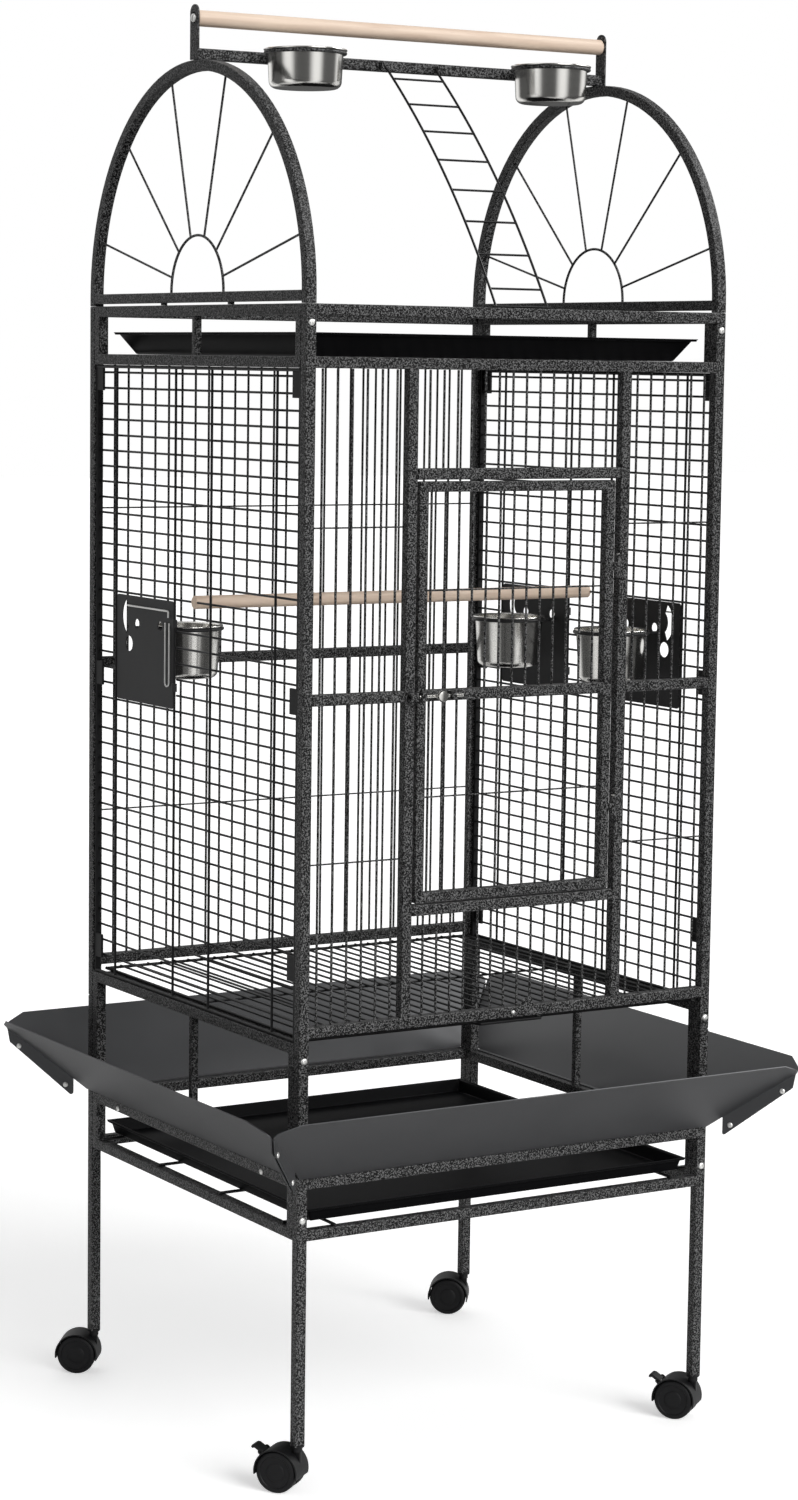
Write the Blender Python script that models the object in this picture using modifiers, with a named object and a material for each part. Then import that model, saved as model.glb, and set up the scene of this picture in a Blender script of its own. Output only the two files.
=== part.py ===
"""Play-top bird cage on a caster stand, in metres with +Z up and the front at -Y."""

import math

import bmesh
import bpy
from mathutils import Matrix, Vector

# Cage body and its square tube
BODY_WIDTH = 0.582
BODY_DEPTH = 0.550
TUBE = 0.013
GAP = 0.0003
WELD = 0.001

# Heights of the undersides of rails and posts
LEG_FOOT = 0.054
STAND_RAIL = 0.299
SKIRT_RAIL = 0.360
POST_FOOT = 0.497
SIDE_SILL = 0.517
BOTTOM_RAIL = 0.537
DOOR_SILL = 0.669
MID_RAIL = 0.920
ROOF_RAIL = 1.302
LINTEL_DROP = 0.126
TOP_RISE = 0.059

# Wires
BAR = 0.0030
BAR_PITCH = 0.0190
SIDE_BAR_PITCH = 0.0197
SIDE_BAR_CLEAR = 0.006
MESH_WIRE = 0.0028
MESH_PITCH = 0.01944
MESH_UPRIGHT = 0.0032
CROSS_WIRE = 0.0020
CROSS_FROM_DOOR = (0.068, 0.054)
BORDER_WIRE = 0.0040
WIRE_SIDES = 6
FINE_SIDES = 4
ROUND_SIDES = 12

# Mesh panel on each side
MESH_TOP_CLEAR = 0.0095
MESH_FOOT_CLEAR = 0.012
MESH_UPRIGHT_FROM_MIDDLE = (0.0461, 0.2039)
PANEL_STRIP = 0.004
FRONT_TABS = (0.099, 0.407, 0.019)
REAR_TABS = (0.048, 0.398, 0.017)
TAB_TALL = 0.030
TAB_WIDE = 0.016
TAB_THICK = 0.003

# Door in the front
DOOR_POST_INNER = 0.142
DOOR_LATCH_SIDE = -0.1385
DOOR_HINGE_SIDE = 0.134
DOOR_MEMBER = 0.012
DOOR_PLAY = 0.002
DOOR_BARS = 13
DOOR_CROSS_FROM_ENDS = (0.138, 0.128)
HINGE_FROM_ENDS = (0.113, 0.104)
HINGE_BARREL = 0.006
HINGE_PIN = 0.0024
HINGE_PROUD = 0.0015
KNUCKLE = 0.009

# Slide latch on the door's middle rail
LATCH_BOLT = 0.005
LATCH_TRAVEL = 0.009
LATCH_KNOB_X = -0.111
LATCH_KNOB = 0.014
LATCH_BLOCK = 0.010

# Feeder doors, their openings and the bowls that hang in them
FEEDER_WIRES_CUT = (15, 20)
FEEDER_PLATE = 0.0012
FEEDER_PLAY = 0.0012
FEEDER_KNUCKLE = 0.0064
FEEDER_KNUCKLE_TALL = 0.010
FEEDER_BOWL_INSET = 0.0558
BOWL_BODY = 0.088
BOWL_RIM = 0.094
BOWL_HEIGHT = 0.066
BOWL_TOP_DROP = 0.309
BOWL_WALL = 0.0012
BOWL_TAPER = 0.0035
RING_WIRE = 0.004

# Cups on the play top
CUP_BODY = 0.090
CUP_RIM = 0.099
CUP_HEIGHT = 0.046
CUP_INSET = 0.117
CUP_FORWARD = 0.0600

# Play top
ARCH_BASE_GAP = 0.003
ARCH_BASE_TALL = 0.012
HOOP_RADIUS = 0.066
HOOP_WIRE = 0.0032
SPOKE_WIRE = 0.0028
SPOKE_ANGLES = (15, 45, 75, 105, 135, 165)
ARCH_STEPS = 22
BRACKET_WIDE = 0.020
BRACKET_THICK = 0.0025
BRACKET_TALL = 0.064
PERCH_DIAMETER = 0.019
PERCH_DROP = 0.016
PERCH_BOLT = 0.0044
BOLT_HEAD = 0.010
INNER_PERCH_DIAMETER = 0.016
LADDER_HALF_WIDTH = 0.0357
LADDER_BOW = 0.0156
LADDER_WIRE = 0.003
RUNG_WIRE = 0.0026
RUNGS = 8

# Small uprights in the side frames
SIDE_UPRIGHT = 0.009

# Trays, floor grate and rack
SHEET = 0.0010
TOP_TRAY_CLEAR = (0.004, 0.020)
TOP_TRAY_FLARE = 0.021
TOP_TRAY_TALL = 0.026
BOTTOM_TRAY_CLEAR = (0.008, 0.0)
BOTTOM_TRAY_FLARE = 0.008
BOTTOM_TRAY_TALL = 0.0155
TRAY_LIP = 0.004
GRATE_BAR = 0.0028
GRATE_PITCH = 0.0197
GRATE_LOOP_HALF = 0.046
RUNNER_WIDE = 0.010
RUNNER_TALL = 0.003
RACK_SIDE_CLEAR = 0.038
RACK_END_CLEAR = 0.027
RACK_MIDDLE_WIRE = 0.080

# Seed skirts
SKIRT_SHEET = 0.0012
SKIRT_OUT = 0.0925
SKIRT_SLOPE = 0.95
SKIRT_TIP = 0.077
SKIRT_TOP_CUT = 0.049
SKIRT_FLANGE = 0.0245
SKIRT_FLANGE_TIP = 0.016
SKIRT_FLANGE_CORNER = 0.004
SKIRT_LIP = 0.0035
SKIRT_STAND_OFF = 0.0014

# Grate lock tab
TAB_PLATE = 0.0012
TAB_LENGTH = 0.030
TAB_NECK = 0.004
TAB_BELL = 0.011
TAB_TURNED = 105

# Casters
WHEEL_RADIUS = 0.0248
WHEEL_WIDE = 0.014
WHEEL_SPLIT = 0.0042
CASTER_TRAIL = 0.0205
CASTER_TURNS = {-1: -53.0, 1: -36.5}
STEM = 0.008
STEM_DEEP = 0.030
LEG_PLUG = 0.0165
LEG_PLUG_TALL = 0.0035
AXLE = 0.006
HOOD_THICK = 0.0018
HOOD_CLEAR = 0.0010
BRAKE_PIVOT_ANGLE = 138
BRAKE_PIVOT_OUT = 0.0300
BRAKE_PIN = 0.003

HALF_X = BODY_WIDTH / 2
HALF_Y = BODY_DEPTH / 2
INNER_X = HALF_X - TUBE
INNER_Y = HALF_Y - TUBE
DOOR_LINTEL = ROOF_RAIL - LINTEL_DROP
TOP_RAIL = ROOF_RAIL + TOP_RISE
TOP = TOP_RAIL + TUBE
CROSS_HEIGHTS = (DOOR_SILL + CROSS_FROM_DOOR[0], DOOR_LINTEL - CROSS_FROM_DOOR[1])
DOOR_CROSS_WIRES = (DOOR_SILL + DOOR_CROSS_FROM_ENDS[0], DOOR_LINTEL - DOOR_CROSS_FROM_ENDS[1])
HINGE_HEIGHTS = (DOOR_SILL + HINGE_FROM_ENDS[0], DOOR_LINTEL - HINGE_FROM_ENDS[1])
MESH_TOP_WIRE = ROOF_RAIL - MESH_TOP_CLEAR
FRONT_TAB_HEIGHTS = (SIDE_SILL + FRONT_TABS[0], SIDE_SILL + FRONT_TABS[1], ROOF_RAIL - FRONT_TABS[2])
REAR_TAB_HEIGHTS = (SIDE_SILL + REAR_TABS[0], SIDE_SILL + REAR_TABS[1], ROOF_RAIL - REAR_TABS[2])
BOWL_TOP = MESH_TOP_WIRE - BOWL_TOP_DROP
POST_X = HALF_X - TUBE / 2
POST_Y = HALF_Y - TUBE / 2
MESH_X = POST_X
UPRIGHT_X = MESH_X + (MESH_WIRE + MESH_UPRIGHT) / 2 + GAP
FEEDER_BOWL_X = UPRIGHT_X - FEEDER_BOWL_INSET
CUP_X = HALF_X - CUP_INSET
STRIP_Y = INNER_Y - 0.006
HINGE_X = DOOR_HINGE_SIDE + HINGE_BARREL / 2 + 0.0015
HINGE_Y = -HALF_Y - HINGE_PROUD
ARCH_CENTRE = TOP + 0.011
ARCH_TOP = ARCH_CENTRE + HALF_Y
CUP_BAR = ARCH_TOP + GAP
LADDER_PIVOT = (-TUBE / 2 - 0.005, CUP_BAR + TUBE / 2)
LADDER_FOOT = (-HALF_Y + 0.0065, TOP + GAP + RUNG_WIRE / 2)
GRATE_BORDER_Z = SIDE_SILL + TUBE + GAP + BORDER_WIRE / 2
GRATE_BAR_Z = GRATE_BORDER_Z + 0.0018
GRATE_HALF = (INNER_X - 0.003, INNER_Y - 0.003)
TOP_TRAY_HALF = (INNER_X - TOP_TRAY_CLEAR[0], INNER_Y - TOP_TRAY_CLEAR[1])
TOP_TRAY_FLOOR_HALF = (TOP_TRAY_HALF[0] - TOP_TRAY_FLARE, TOP_TRAY_HALF[1] - TOP_TRAY_FLARE)
BOTTOM_TRAY_HALF = (INNER_X - BOTTOM_TRAY_CLEAR[0], INNER_Y - BOTTOM_TRAY_CLEAR[1])
BOTTOM_TRAY_FLOOR_HALF = (BOTTOM_TRAY_HALF[0] - BOTTOM_TRAY_FLARE, BOTTOM_TRAY_HALF[1] - BOTTOM_TRAY_FLARE)
RACK_X = INNER_X - RACK_SIDE_CLEAR
RACK_Y = (RACK_MIDDLE_WIRE, INNER_Y - RACK_END_CLEAR)
RACK_Z = STAND_RAIL + TUBE + GAP + BORDER_WIRE / 2
SKIRT_FOOT = SKIRT_RAIL + TUBE + GAP + SKIRT_SHEET / 2
LOCK_PIVOT = BOTTOM_RAIL + TUBE / 2
PERCH_Z = CUP_BAR + BRACKET_TALL - PERCH_DROP

CAGE = None
WORKSHOP = None


def clear_scene():
    """Start from an empty scene with one collection for the cage and one for the tools."""
    global CAGE, WORKSHOP
    for thing in list(bpy.data.objects):
        bpy.data.objects.remove(thing, do_unlink=True)
    CAGE = bpy.data.collections.new("bird_cage")
    WORKSHOP = bpy.data.collections.new("cutters")
    bpy.context.scene.collection.children.link(CAGE)
    bpy.context.scene.collection.children.link(WORKSHOP)


def finish(name, colour, roughness, metallic):
    """Make a plain material."""
    made = bpy.data.materials.new(name)
    made.use_nodes = True
    shader = made.node_tree.nodes["Principled BSDF"]
    shader.inputs["Base Color"].default_value = (*colour, 1.0)
    shader.inputs["Roughness"].default_value = roughness
    shader.inputs["Metallic"].default_value = metallic
    return made


def workshop_object(name, mesh):
    """Put a shape that is still to be welded or cut in the tools' collection."""
    shape = bpy.data.objects.new(name, mesh)
    shape.hide_render = True
    shape.display_type = "WIRE"
    WORKSHOP.objects.link(shape)
    return shape


def from_bmesh(name, shape_mesh):
    """Turn a bmesh into a workshop object."""
    mesh = bpy.data.meshes.new(name)
    shape_mesh.to_mesh(mesh)
    shape_mesh.free()
    return workshop_object(name, mesh)


def block(x_span, y_span, z_span):
    """A box between the given limits."""
    low = Vector((min(x_span), min(y_span), min(z_span)))
    high = Vector((max(x_span), max(y_span), max(z_span)))
    shape = bmesh.new()
    size = high - low
    place = Matrix.Translation((low + high) / 2) @ Matrix.Diagonal((*size, 1.0))
    bmesh.ops.create_cube(shape, size=1.0, matrix=place)
    return from_bmesh("block", shape)


def rod(start, end, diameter, sides=WIRE_SIDES):
    """A straight round bar or wire from start to end."""
    start = Vector(start)
    end = Vector(end)
    along = end - start
    turn = along.to_track_quat("Z", "Y").to_matrix().to_4x4()
    place = Matrix.Translation((start + end) / 2) @ turn
    shape = bmesh.new()
    bmesh.ops.create_cone(shape, cap_ends=True, segments=sides, radius1=diameter / 2,
                          radius2=diameter / 2, depth=along.length, matrix=place)
    return from_bmesh("rod", shape)


def settled_mesh(thing):
    """The evaluated mesh of an object, welded, in world space, with the object removed."""
    graph = bpy.context.evaluated_depsgraph_get()
    mesh = bpy.data.meshes.new_from_object(thing.evaluated_get(graph))
    mesh.transform(thing.matrix_world)
    tidy = bmesh.new()
    tidy.from_mesh(mesh)
    bmesh.ops.remove_doubles(tidy, verts=tidy.verts, dist=0.000005)
    tidy.to_mesh(mesh)
    tidy.free()
    bpy.data.objects.remove(thing, do_unlink=True)
    return mesh


def bent_wire(points, diameter, closed=False, resolution=1):
    """A wire that runs through the points."""
    curve = bpy.data.curves.new("wire", "CURVE")
    curve.dimensions = "3D"
    curve.bevel_depth = diameter / 2
    curve.bevel_resolution = resolution
    curve.use_fill_caps = not closed
    line = curve.splines.new("POLY")
    line.points.add(len(points) - 1)
    for point, place in zip(line.points, points):
        point.co = (*place, 1.0)
    line.use_cyclic_u = closed
    return workshop_object("wire", settled_mesh(workshop_object("wire_path", curve)))


def ring(centre, radius, diameter, steps=16):
    """A closed horizontal wire ring."""
    points = []
    for step in range(steps):
        turn = 2 * math.pi * step / steps
        points.append((centre[0] + radius * math.cos(turn),
                       centre[1] + radius * math.sin(turn), centre[2]))
    return bent_wire(points, diameter, closed=True)


def plate(outline, thickness, place, holes=()):
    """A flat outline with holes, thickened about its own plane and put in place."""
    curve = bpy.data.curves.new("plate", "CURVE")
    curve.dimensions = "2D"
    curve.fill_mode = "BOTH"
    curve.extrude = thickness / 2
    for loop in (outline, *holes):
        line = curve.splines.new("POLY")
        line.points.add(len(loop) - 1)
        for point, spot in zip(line.points, loop):
            point.co = (spot[0], spot[1], 0.0, 1.0)
        line.use_cyclic_u = True
    flat = workshop_object("plate_outline", curve)
    flat.matrix_world = place
    return workshop_object("plate", settled_mesh(flat))


def turned(profile, place, steps=24):
    """A solid of revolution about the local Z axis; the profile runs from the top down."""
    line = bmesh.new()
    corners = [line.verts.new((radius, 0.0, height)) for radius, height in profile]
    for first, second in zip(corners, corners[1:]):
        line.edges.new((first, second))
    shape = from_bmesh("profile", line)
    screw = shape.modifiers.new("Turn", "SCREW")
    screw.steps = steps
    screw.render_steps = steps
    screw.use_merge_vertices = True
    screw.merge_threshold = 0.00001
    shape.matrix_world = place
    return workshop_object("turned", settled_mesh(shape))


def arc(centre, radius, start, end, steps):
    """Points in a plane along an arc, angles in degrees."""
    points = []
    for step in range(steps + 1):
        turn = math.radians(start + (end - start) * step / steps)
        points.append((centre[0] + radius * math.cos(turn), centre[1] + radius * math.sin(turn)))
    return points


def plane_matrix(origin, across, up):
    """A matrix that lays the local X on across and the local Y on up."""
    across = Vector(across).normalized()
    up = Vector(up).normalized()
    out = across.cross(up)
    turn = Matrix((across, up, out)).transposed().to_4x4()
    return Matrix.Translation(origin) @ turn


def weld(shapes, cuts=()):
    """The mesh of the shapes as one solid with the cuts taken out of it."""
    body = shapes[0]
    used = []
    for operation, tools in (("UNION", shapes[1:]), ("DIFFERENCE", cuts)):
        if not tools:
            continue
        group = bpy.data.collections.new(operation.lower() + "_tools")
        WORKSHOP.children.link(group)
        for tool in tools:
            WORKSHOP.objects.unlink(tool)
            group.objects.link(tool)
        joint = body.modifiers.new(operation.title(), "BOOLEAN")
        joint.operation = operation
        joint.operand_type = "COLLECTION"
        joint.collection = group
        joint.solver = "EXACT"
        used.append(group)
    mesh = settled_mesh(body)
    for group in used:
        for tool in list(group.objects):
            bpy.data.objects.remove(tool, do_unlink=True)
        bpy.data.collections.remove(group)
    return mesh


def fuse(name, look, shapes, cuts=(), origin=(0.0, 0.0, 0.0), smooth=None):
    """Weld the shapes into one solid, take the cuts out of it and keep it under its name."""
    mesh = weld(shapes, cuts)
    mesh.transform(Matrix.Translation(-Vector(origin)))
    mesh.name = name
    mesh.materials.clear()
    mesh.materials.append(look)
    if smooth is not None:
        mesh.shade_smooth()
        mesh.set_sharp_from_angle(angle=math.radians(smooth))
    piece = bpy.data.objects.new(name, mesh)
    piece.location = origin
    CAGE.objects.link(piece)
    return piece


def spread(count, pitch, middle=0.0):
    """Evenly spaced places about a middle."""
    first = middle - pitch * (count - 1) / 2
    return [first + pitch * index for index in range(count)]


def fitted(low, high, pitch):
    """Places between two members, as many as fit at about the given pitch."""
    count = max(1, round((high - low) / pitch) - 1)
    step = (high - low) / (count + 1)
    return [low + step * (index + 1) for index in range(count)]


def span(side, outer, inner):
    """The band between inner and outer on one side of the middle."""
    return (side * outer, side * inner)


def tall(foot, height=TUBE):
    """The height band of a rail."""
    return (foot, foot + height)


def panel_posts(side):
    """Both corner posts of the front or the rear panel."""
    depth = span(side, HALF_Y, INNER_Y)
    return [block(span(x_side, HALF_X, INNER_X), depth, (POST_FOOT, TOP)) for x_side in (-1, 1)]


def leg_sockets(side):
    """Openings in the posts' feet for the spigots of the legs."""
    reach = SPIGOT / 2 + GAP
    cuts = []
    for x_side in (-1, 1):
        middle = (x_side * POST_X, side * POST_Y)
        cuts.append(block((middle[0] - reach, middle[0] + reach),
                          (middle[1] - reach, middle[1] + reach),
                          (POST_FOOT - WELD, POST_FOOT + SPIGOT_TALL + GAP)))
    return cuts


SPIGOT = 0.0094
SPIGOT_TALL = 0.024


def long_rail(side, foot):
    """A rail between the two posts of the front or the rear panel."""
    return block((-INNER_X - WELD, INNER_X + WELD), span(side, HALF_Y, INNER_Y), tall(foot))


def front_frame(look):
    """Posts, rails, door posts, hinge knuckles and latch keeper of the front."""
    depth = span(-1, HALF_Y, INNER_Y)
    shapes = panel_posts(-1)
    shapes += [long_rail(-1, foot) for foot in (BOTTOM_RAIL, ROOF_RAIL, TOP_RAIL)]
    post_tall = (BOTTOM_RAIL + TUBE - WELD, ROOF_RAIL + WELD)
    for side in (-1, 1):
        shapes.append(block(span(side, DOOR_POST_INNER + TUBE, DOOR_POST_INNER), depth, post_tall))
    cuts = leg_sockets(-1)
    bore = HINGE_PIN + 2 * GAP
    for height in HINGE_HEIGHTS:
        for low in (height - 1.5 * KNUCKLE - GAP, height + 0.5 * KNUCKLE + GAP):
            high = low + KNUCKLE
            shapes.append(rod((HINGE_X, HINGE_Y, low), (HINGE_X, HINGE_Y, high), HINGE_BARREL, 8))
            shapes.append(block((HINGE_X, DOOR_POST_INNER + WELD),
                                (HINGE_Y - 0.0014, -HALF_Y + WELD), (low, high)))
        reach = 1.5 * KNUCKLE + 2 * WELD
        cuts.append(rod((HINGE_X, HINGE_Y, height - reach), (HINGE_X, HINGE_Y, height + reach), bore, 8))
    keeper_x = (-DOOR_POST_INNER - 0.0110, -DOOR_POST_INNER - 0.0010)
    shapes.append(latch_block(keeper_x))
    cuts.append(latch_bore((keeper_x[0] - WELD, keeper_x[1] + WELD)))
    return fuse("front_frame", look, shapes, cuts)


def latch_axis():
    """Depth and height of the latch bolt."""
    return (-HALF_Y - LATCH_BLOCK / 2 - GAP, MID_RAIL + TUBE / 2)


def latch_block(x_span):
    """A small guide block on the face of the front."""
    depth, height = latch_axis()
    half = LATCH_BLOCK / 2
    return block(x_span, (depth - half, -HALF_Y + WELD), (height - half, height + half))


def latch_bore(x_span):
    """The hole that the latch bolt runs in."""
    depth, height = latch_axis()
    bore = LATCH_BOLT + 2 * GAP
    return rod((x_span[0], depth, height), (x_span[1], depth, height), bore, 8)


def front_side_grille(name, side, look):
    """Bars and middle rail between a corner post and a door post."""
    inner = DOOR_POST_INNER + TUBE + GAP
    outer = INNER_X - GAP
    shapes = [block(span(side, outer, inner), span(-1, HALF_Y, INNER_Y), tall(MID_RAIL))]
    middle = side * (inner + outer) / 2
    low = BOTTOM_RAIL + TUBE + GAP
    high = ROOF_RAIL - GAP
    count = int((outer - inner - 2 * SIDE_BAR_CLEAR) / SIDE_BAR_PITCH) + 1
    for x in spread(count, SIDE_BAR_PITCH, middle):
        shapes.append(rod((x, -POST_Y, low), (x, -POST_Y, high), BAR))
    for height in CROSS_HEIGHTS:
        shapes.append(rod((side * inner, -POST_Y + 0.0012, height),
                          (side * outer, -POST_Y + 0.0012, height), CROSS_WIRE, 4))
    return fuse(name, look, shapes)


def front_over_door(name, rail_foot, bars_low, bars_high, look):
    """The lintel or the sill of the door opening with its short bars."""
    reach = DOOR_POST_INNER - GAP
    shapes = [block((-reach, reach), span(-1, HALF_Y, INNER_Y), tall(rail_foot))]
    for x in fitted(-DOOR_POST_INNER, DOOR_POST_INNER, BAR_PITCH):
        shapes.append(rod((x, -POST_Y, bars_low), (x, -POST_Y, bars_high), BAR))
    return fuse(name, look, shapes)


def rear_panel(look):
    """The whole rear: posts, rails, full-height bars and two thin cross wires."""
    shapes = panel_posts(1)
    shapes += [long_rail(1, foot) for foot in (BOTTOM_RAIL, MID_RAIL, ROOF_RAIL, TOP_RAIL)]
    for x in fitted(-INNER_X, INNER_X, BAR_PITCH):
        shapes.append(rod((x, POST_Y, BOTTOM_RAIL + TUBE - WELD), (x, POST_Y, ROOF_RAIL + WELD), BAR,
                          FINE_SIDES))
    wire_y = POST_Y - BAR / 2 - CROSS_WIRE / 2 - GAP
    for height in CROSS_HEIGHTS:
        shapes.append(rod((-POST_X, wire_y, height + 0.0002), (POST_X, wire_y, height + 0.0002),
                          CROSS_WIRE, 4))
    return fuse("rear_panel", look, shapes, leg_sockets(1))


def mesh_heights():
    """Heights of the level wires of a side panel, from the top down."""
    low = SIDE_SILL + TUBE + MESH_FOOT_CLEAR
    count = int((MESH_TOP_WIRE - low) / MESH_PITCH) + 1
    return [MESH_TOP_WIRE - MESH_PITCH * index for index in range(count)]


def feeder_opening(middle_side):
    """Front and rear limits and low and high wires of a feeder opening."""
    near, far = MESH_UPRIGHT_FROM_MIDDLE
    heights = mesh_heights()
    first, last = FEEDER_WIRES_CUT
    limits = (near, far) if middle_side > 0 else (-far, -near)
    return limits, (heights[last + 1], heights[first - 1])


def side_panel(name, side, feeder_sides, look):
    """Level wires on two end strips, four uprights, feeder openings and hook tabs."""
    x = side * MESH_X
    upright_x = side * UPRIGHT_X
    low = SIDE_SILL + TUBE + GAP
    high = ROOF_RAIL - GAP
    strip_x = (x - side * 0.0022, side * (UPRIGHT_X + MESH_UPRIGHT / 2))
    shapes = []
    for end in (-1, 1):
        shapes.append(block(strip_x, (end * STRIP_Y, end * (STRIP_Y + PANEL_STRIP)), (low, high)))
        tab_y = (end * (STRIP_Y + WELD), end * (INNER_Y - GAP))
        for height in FRONT_TAB_HEIGHTS if end < 0 else REAR_TAB_HEIGHTS:
            shapes.append(block((side * (UPRIGHT_X - TAB_THICK / 2), side * (UPRIGHT_X + TAB_THICK / 2)),
                                tab_y, (height - TAB_TALL / 2, height + TAB_TALL / 2)))
    reach = STRIP_Y + PANEL_STRIP / 2
    for height in (low + BORDER_WIRE / 2, high - BORDER_WIRE / 2):
        shapes.append(rod((upright_x, -reach, height), (upright_x, reach, height), BORDER_WIRE))
    near, far = MESH_UPRIGHT_FROM_MIDDLE
    for y in (-far, -near, near, far):
        hinged = abs(y) == near and any(y * middle_side > 0 for middle_side in feeder_sides)
        shapes.append(rod((upright_x, y, low + BORDER_WIRE / 2), (upright_x, y, high - BORDER_WIRE / 2),
                          MESH_UPRIGHT, 8 if hinged else WIRE_SIDES))
    openings = [feeder_opening(middle_side) for middle_side in feeder_sides]
    for index, height in enumerate(mesh_heights()):
        cut = FEEDER_WIRES_CUT[0] <= index <= FEEDER_WIRES_CUT[1]
        start = -reach
        if cut:
            for (front, rear), _ in openings:
                shapes.append(rod((x, start, height), (x, front, height), MESH_WIRE, FINE_SIDES))
                start = rear
        shapes.append(rod((x, start, height), (x, reach, height), MESH_WIRE, FINE_SIDES))
    for (front, rear), _ in openings:
        for index in range(FEEDER_WIRES_CUT[0], FEEDER_WIRES_CUT[1] + 1):
            height = mesh_heights()[index]
            for y in (front, rear):
                shapes.append(block((x - side * 0.0009, upright_x), (y - 0.0010, y + 0.0010),
                                    (height - 0.0010, height + 0.0010)))
    return fuse(name, look, shapes)


def rounded_strip(half_width, low, high, steps=8):
    """An upright strip with a round top."""
    return [(-half_width, low), (half_width, low)] + arc((0.0, high - half_width), half_width, 0, 180, steps)


def slot(middle, half_width, half_length, steps=3):
    """An upright slot with round ends."""
    x, y = middle
    return (arc((x, y + half_length), half_width, 0, 180, steps)
            + arc((x, y - half_length), half_width, 180, 360, steps))


def circle(middle, radius, steps=8):
    """A round hole."""
    return arc(middle, radius, 0, 360 - 360 / steps, steps - 1)


def feeder_door(name, side, middle_side, bowl_out, look):
    """A pierced steel plate that swings on the upright nearest the middle, with a bowl ring inside."""
    _, (bottom, top) = feeder_opening(middle_side)
    near, far = MESH_UPRIGHT_FROM_MIDDLE
    width = far - near
    hinge_y = middle_side * near
    hinge_x = side * UPRIGHT_X
    low = bottom + 0.0026
    high = top - 0.0022
    start = MESH_UPRIGHT / 2 + FEEDER_PLAY
    end = width - start
    outline = []
    rounding = 0.004
    for across, height, turn in ((end - rounding, high - rounding, 0), (start + rounding, high - rounding, 90),
                                 (start + rounding, low + rounding, 180), (end - rounding, low + rounding, 270)):
        outline += arc((across, height), rounding, turn, turn + 90, 2)
    holes = [circle((0.100, high - 0.034), 0.006), circle((0.038, high - 0.033), 0.006),
             circle((0.1215, high - 0.060), 0.0095, 10)]
    bend = arc((0.113, high - 0.026), 0.0265, -58, 58, 6)
    inner_bend = arc((0.113, high - 0.026), 0.0185, 52, -52, 5)
    holes.append(bend + inner_bend)
    place = plane_matrix((hinge_x, hinge_y, 0), (0, middle_side, 0), (0, 0, 1))
    shapes = [plate(outline, FEEDER_PLATE, place, holes)]
    cuts = []
    heights = mesh_heights()
    first, last = FEEDER_WIRES_CUT
    for index in (first, last - 1):
        height = (heights[index] + heights[index + 1]) / 2
        half = FEEDER_KNUCKLE_TALL / 2
        shapes.append(rod((hinge_x, hinge_y, height - half), (hinge_x, hinge_y, height + half),
                          FEEDER_KNUCKLE, 8))
        shapes.append(block((hinge_x - 0.0010, hinge_x + 0.0010),
                            (hinge_y + middle_side * 0.0022, hinge_y + middle_side * (start + 0.002)),
                            (height - half, height + half)))
        cuts.append(rod((hinge_x, hinge_y, height - half - WELD), (hinge_x, hinge_y, height + half + WELD),
                        MESH_UPRIGHT + 2 * GAP, 8))
    centre = feeder_bowl_centre(side, middle_side, bowl_out)
    ring_z = BOWL_TOP - 0.0022 - GAP - RING_WIRE / 2
    radius = BOWL_BODY / 2 + GAP + RING_WIRE / 2
    shapes.append(ring((centre[0], centre[1], ring_z), radius, RING_WIRE))
    for shift in (-0.026, 0.026):
        touch_x = centre[0] + side * math.sqrt(radius ** 2 - shift ** 2)
        shapes.append(rod((touch_x, centre[1] + shift, ring_z), (hinge_x, centre[1] + shift, ring_z),
                          RING_WIRE))
    return fuse(name, look, shapes, cuts, (hinge_x, hinge_y, (bottom + top) / 2))


def feeder_bowl_centre(side, middle_side, bowl_out):
    """Where the middle of a bowl ring is."""
    return (side * FEEDER_BOWL_X, middle_side * (MESH_UPRIGHT_FROM_MIDDLE[0] + bowl_out))


def bowl(name, centre, top, body, rim, height, look):
    """A pressed steel bowl with a rolled rim, turned as one open shell."""
    outer = body / 2
    wall = BOWL_WALL
    foot = outer - BOWL_TAPER - 0.005
    floor = top - height
    low = outer - BOWL_TAPER
    profile = [(0.0, floor + wall), (foot - 0.0006, floor + wall), (low - wall, floor + 0.0104),
               (outer - wall, top), (rim / 2 - 0.0006, top), (rim / 2, top - 0.0011),
               (rim / 2 - 0.0006, top - 0.0022), (outer, top - 0.0022), (low, floor + 0.010),
               (foot, floor), (0.0, floor)]
    place = Matrix.Translation((centre[0], centre[1], 0.0))
    return fuse(name, look, [turned(profile, place, 16)], smooth=35, origin=(*centre, top))


def side_upper_frame(name, side, look):
    """The ladder-like frame above a side panel: two rails and three short posts."""
    width = span(side, HALF_X, INNER_X)
    reach = INNER_Y - GAP
    shapes = [block(width, (-reach, reach), tall(foot)) for foot in (ROOF_RAIL, TOP_RAIL)]
    between = (ROOF_RAIL + TUBE - WELD, TOP_RAIL + WELD)
    for end in (-1, 1):
        shapes.append(block(width, (end * (reach - TUBE), end * reach), between))
    slim = SIDE_UPRIGHT / 2
    shapes.append(block((side * (POST_X - slim), side * (POST_X + slim)), (-slim, slim), between))
    return fuse(name, look, shapes)


def roof_grille(look):
    """Bars that close the roof under the top tray, on two cross strips."""
    top = ROOF_RAIL + TUBE
    reach_x = INNER_X - GAP
    reach_y = INNER_Y - GAP
    bar_z = top - BAR / 2
    shapes = []
    for end in (-1, 1):
        shapes.append(block((-reach_x, reach_x), (end * reach_y, end * (reach_y - 0.004)),
                            (top - 0.012, bar_z - 0.0002)))
    for x in fitted(-reach_x, reach_x, 0.0200):
        shapes.append(rod((x, -reach_y + WELD, bar_z), (x, reach_y - WELD, bar_z), BAR, FINE_SIDES))
    return fuse("roof_grille", look, shapes)


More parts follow.
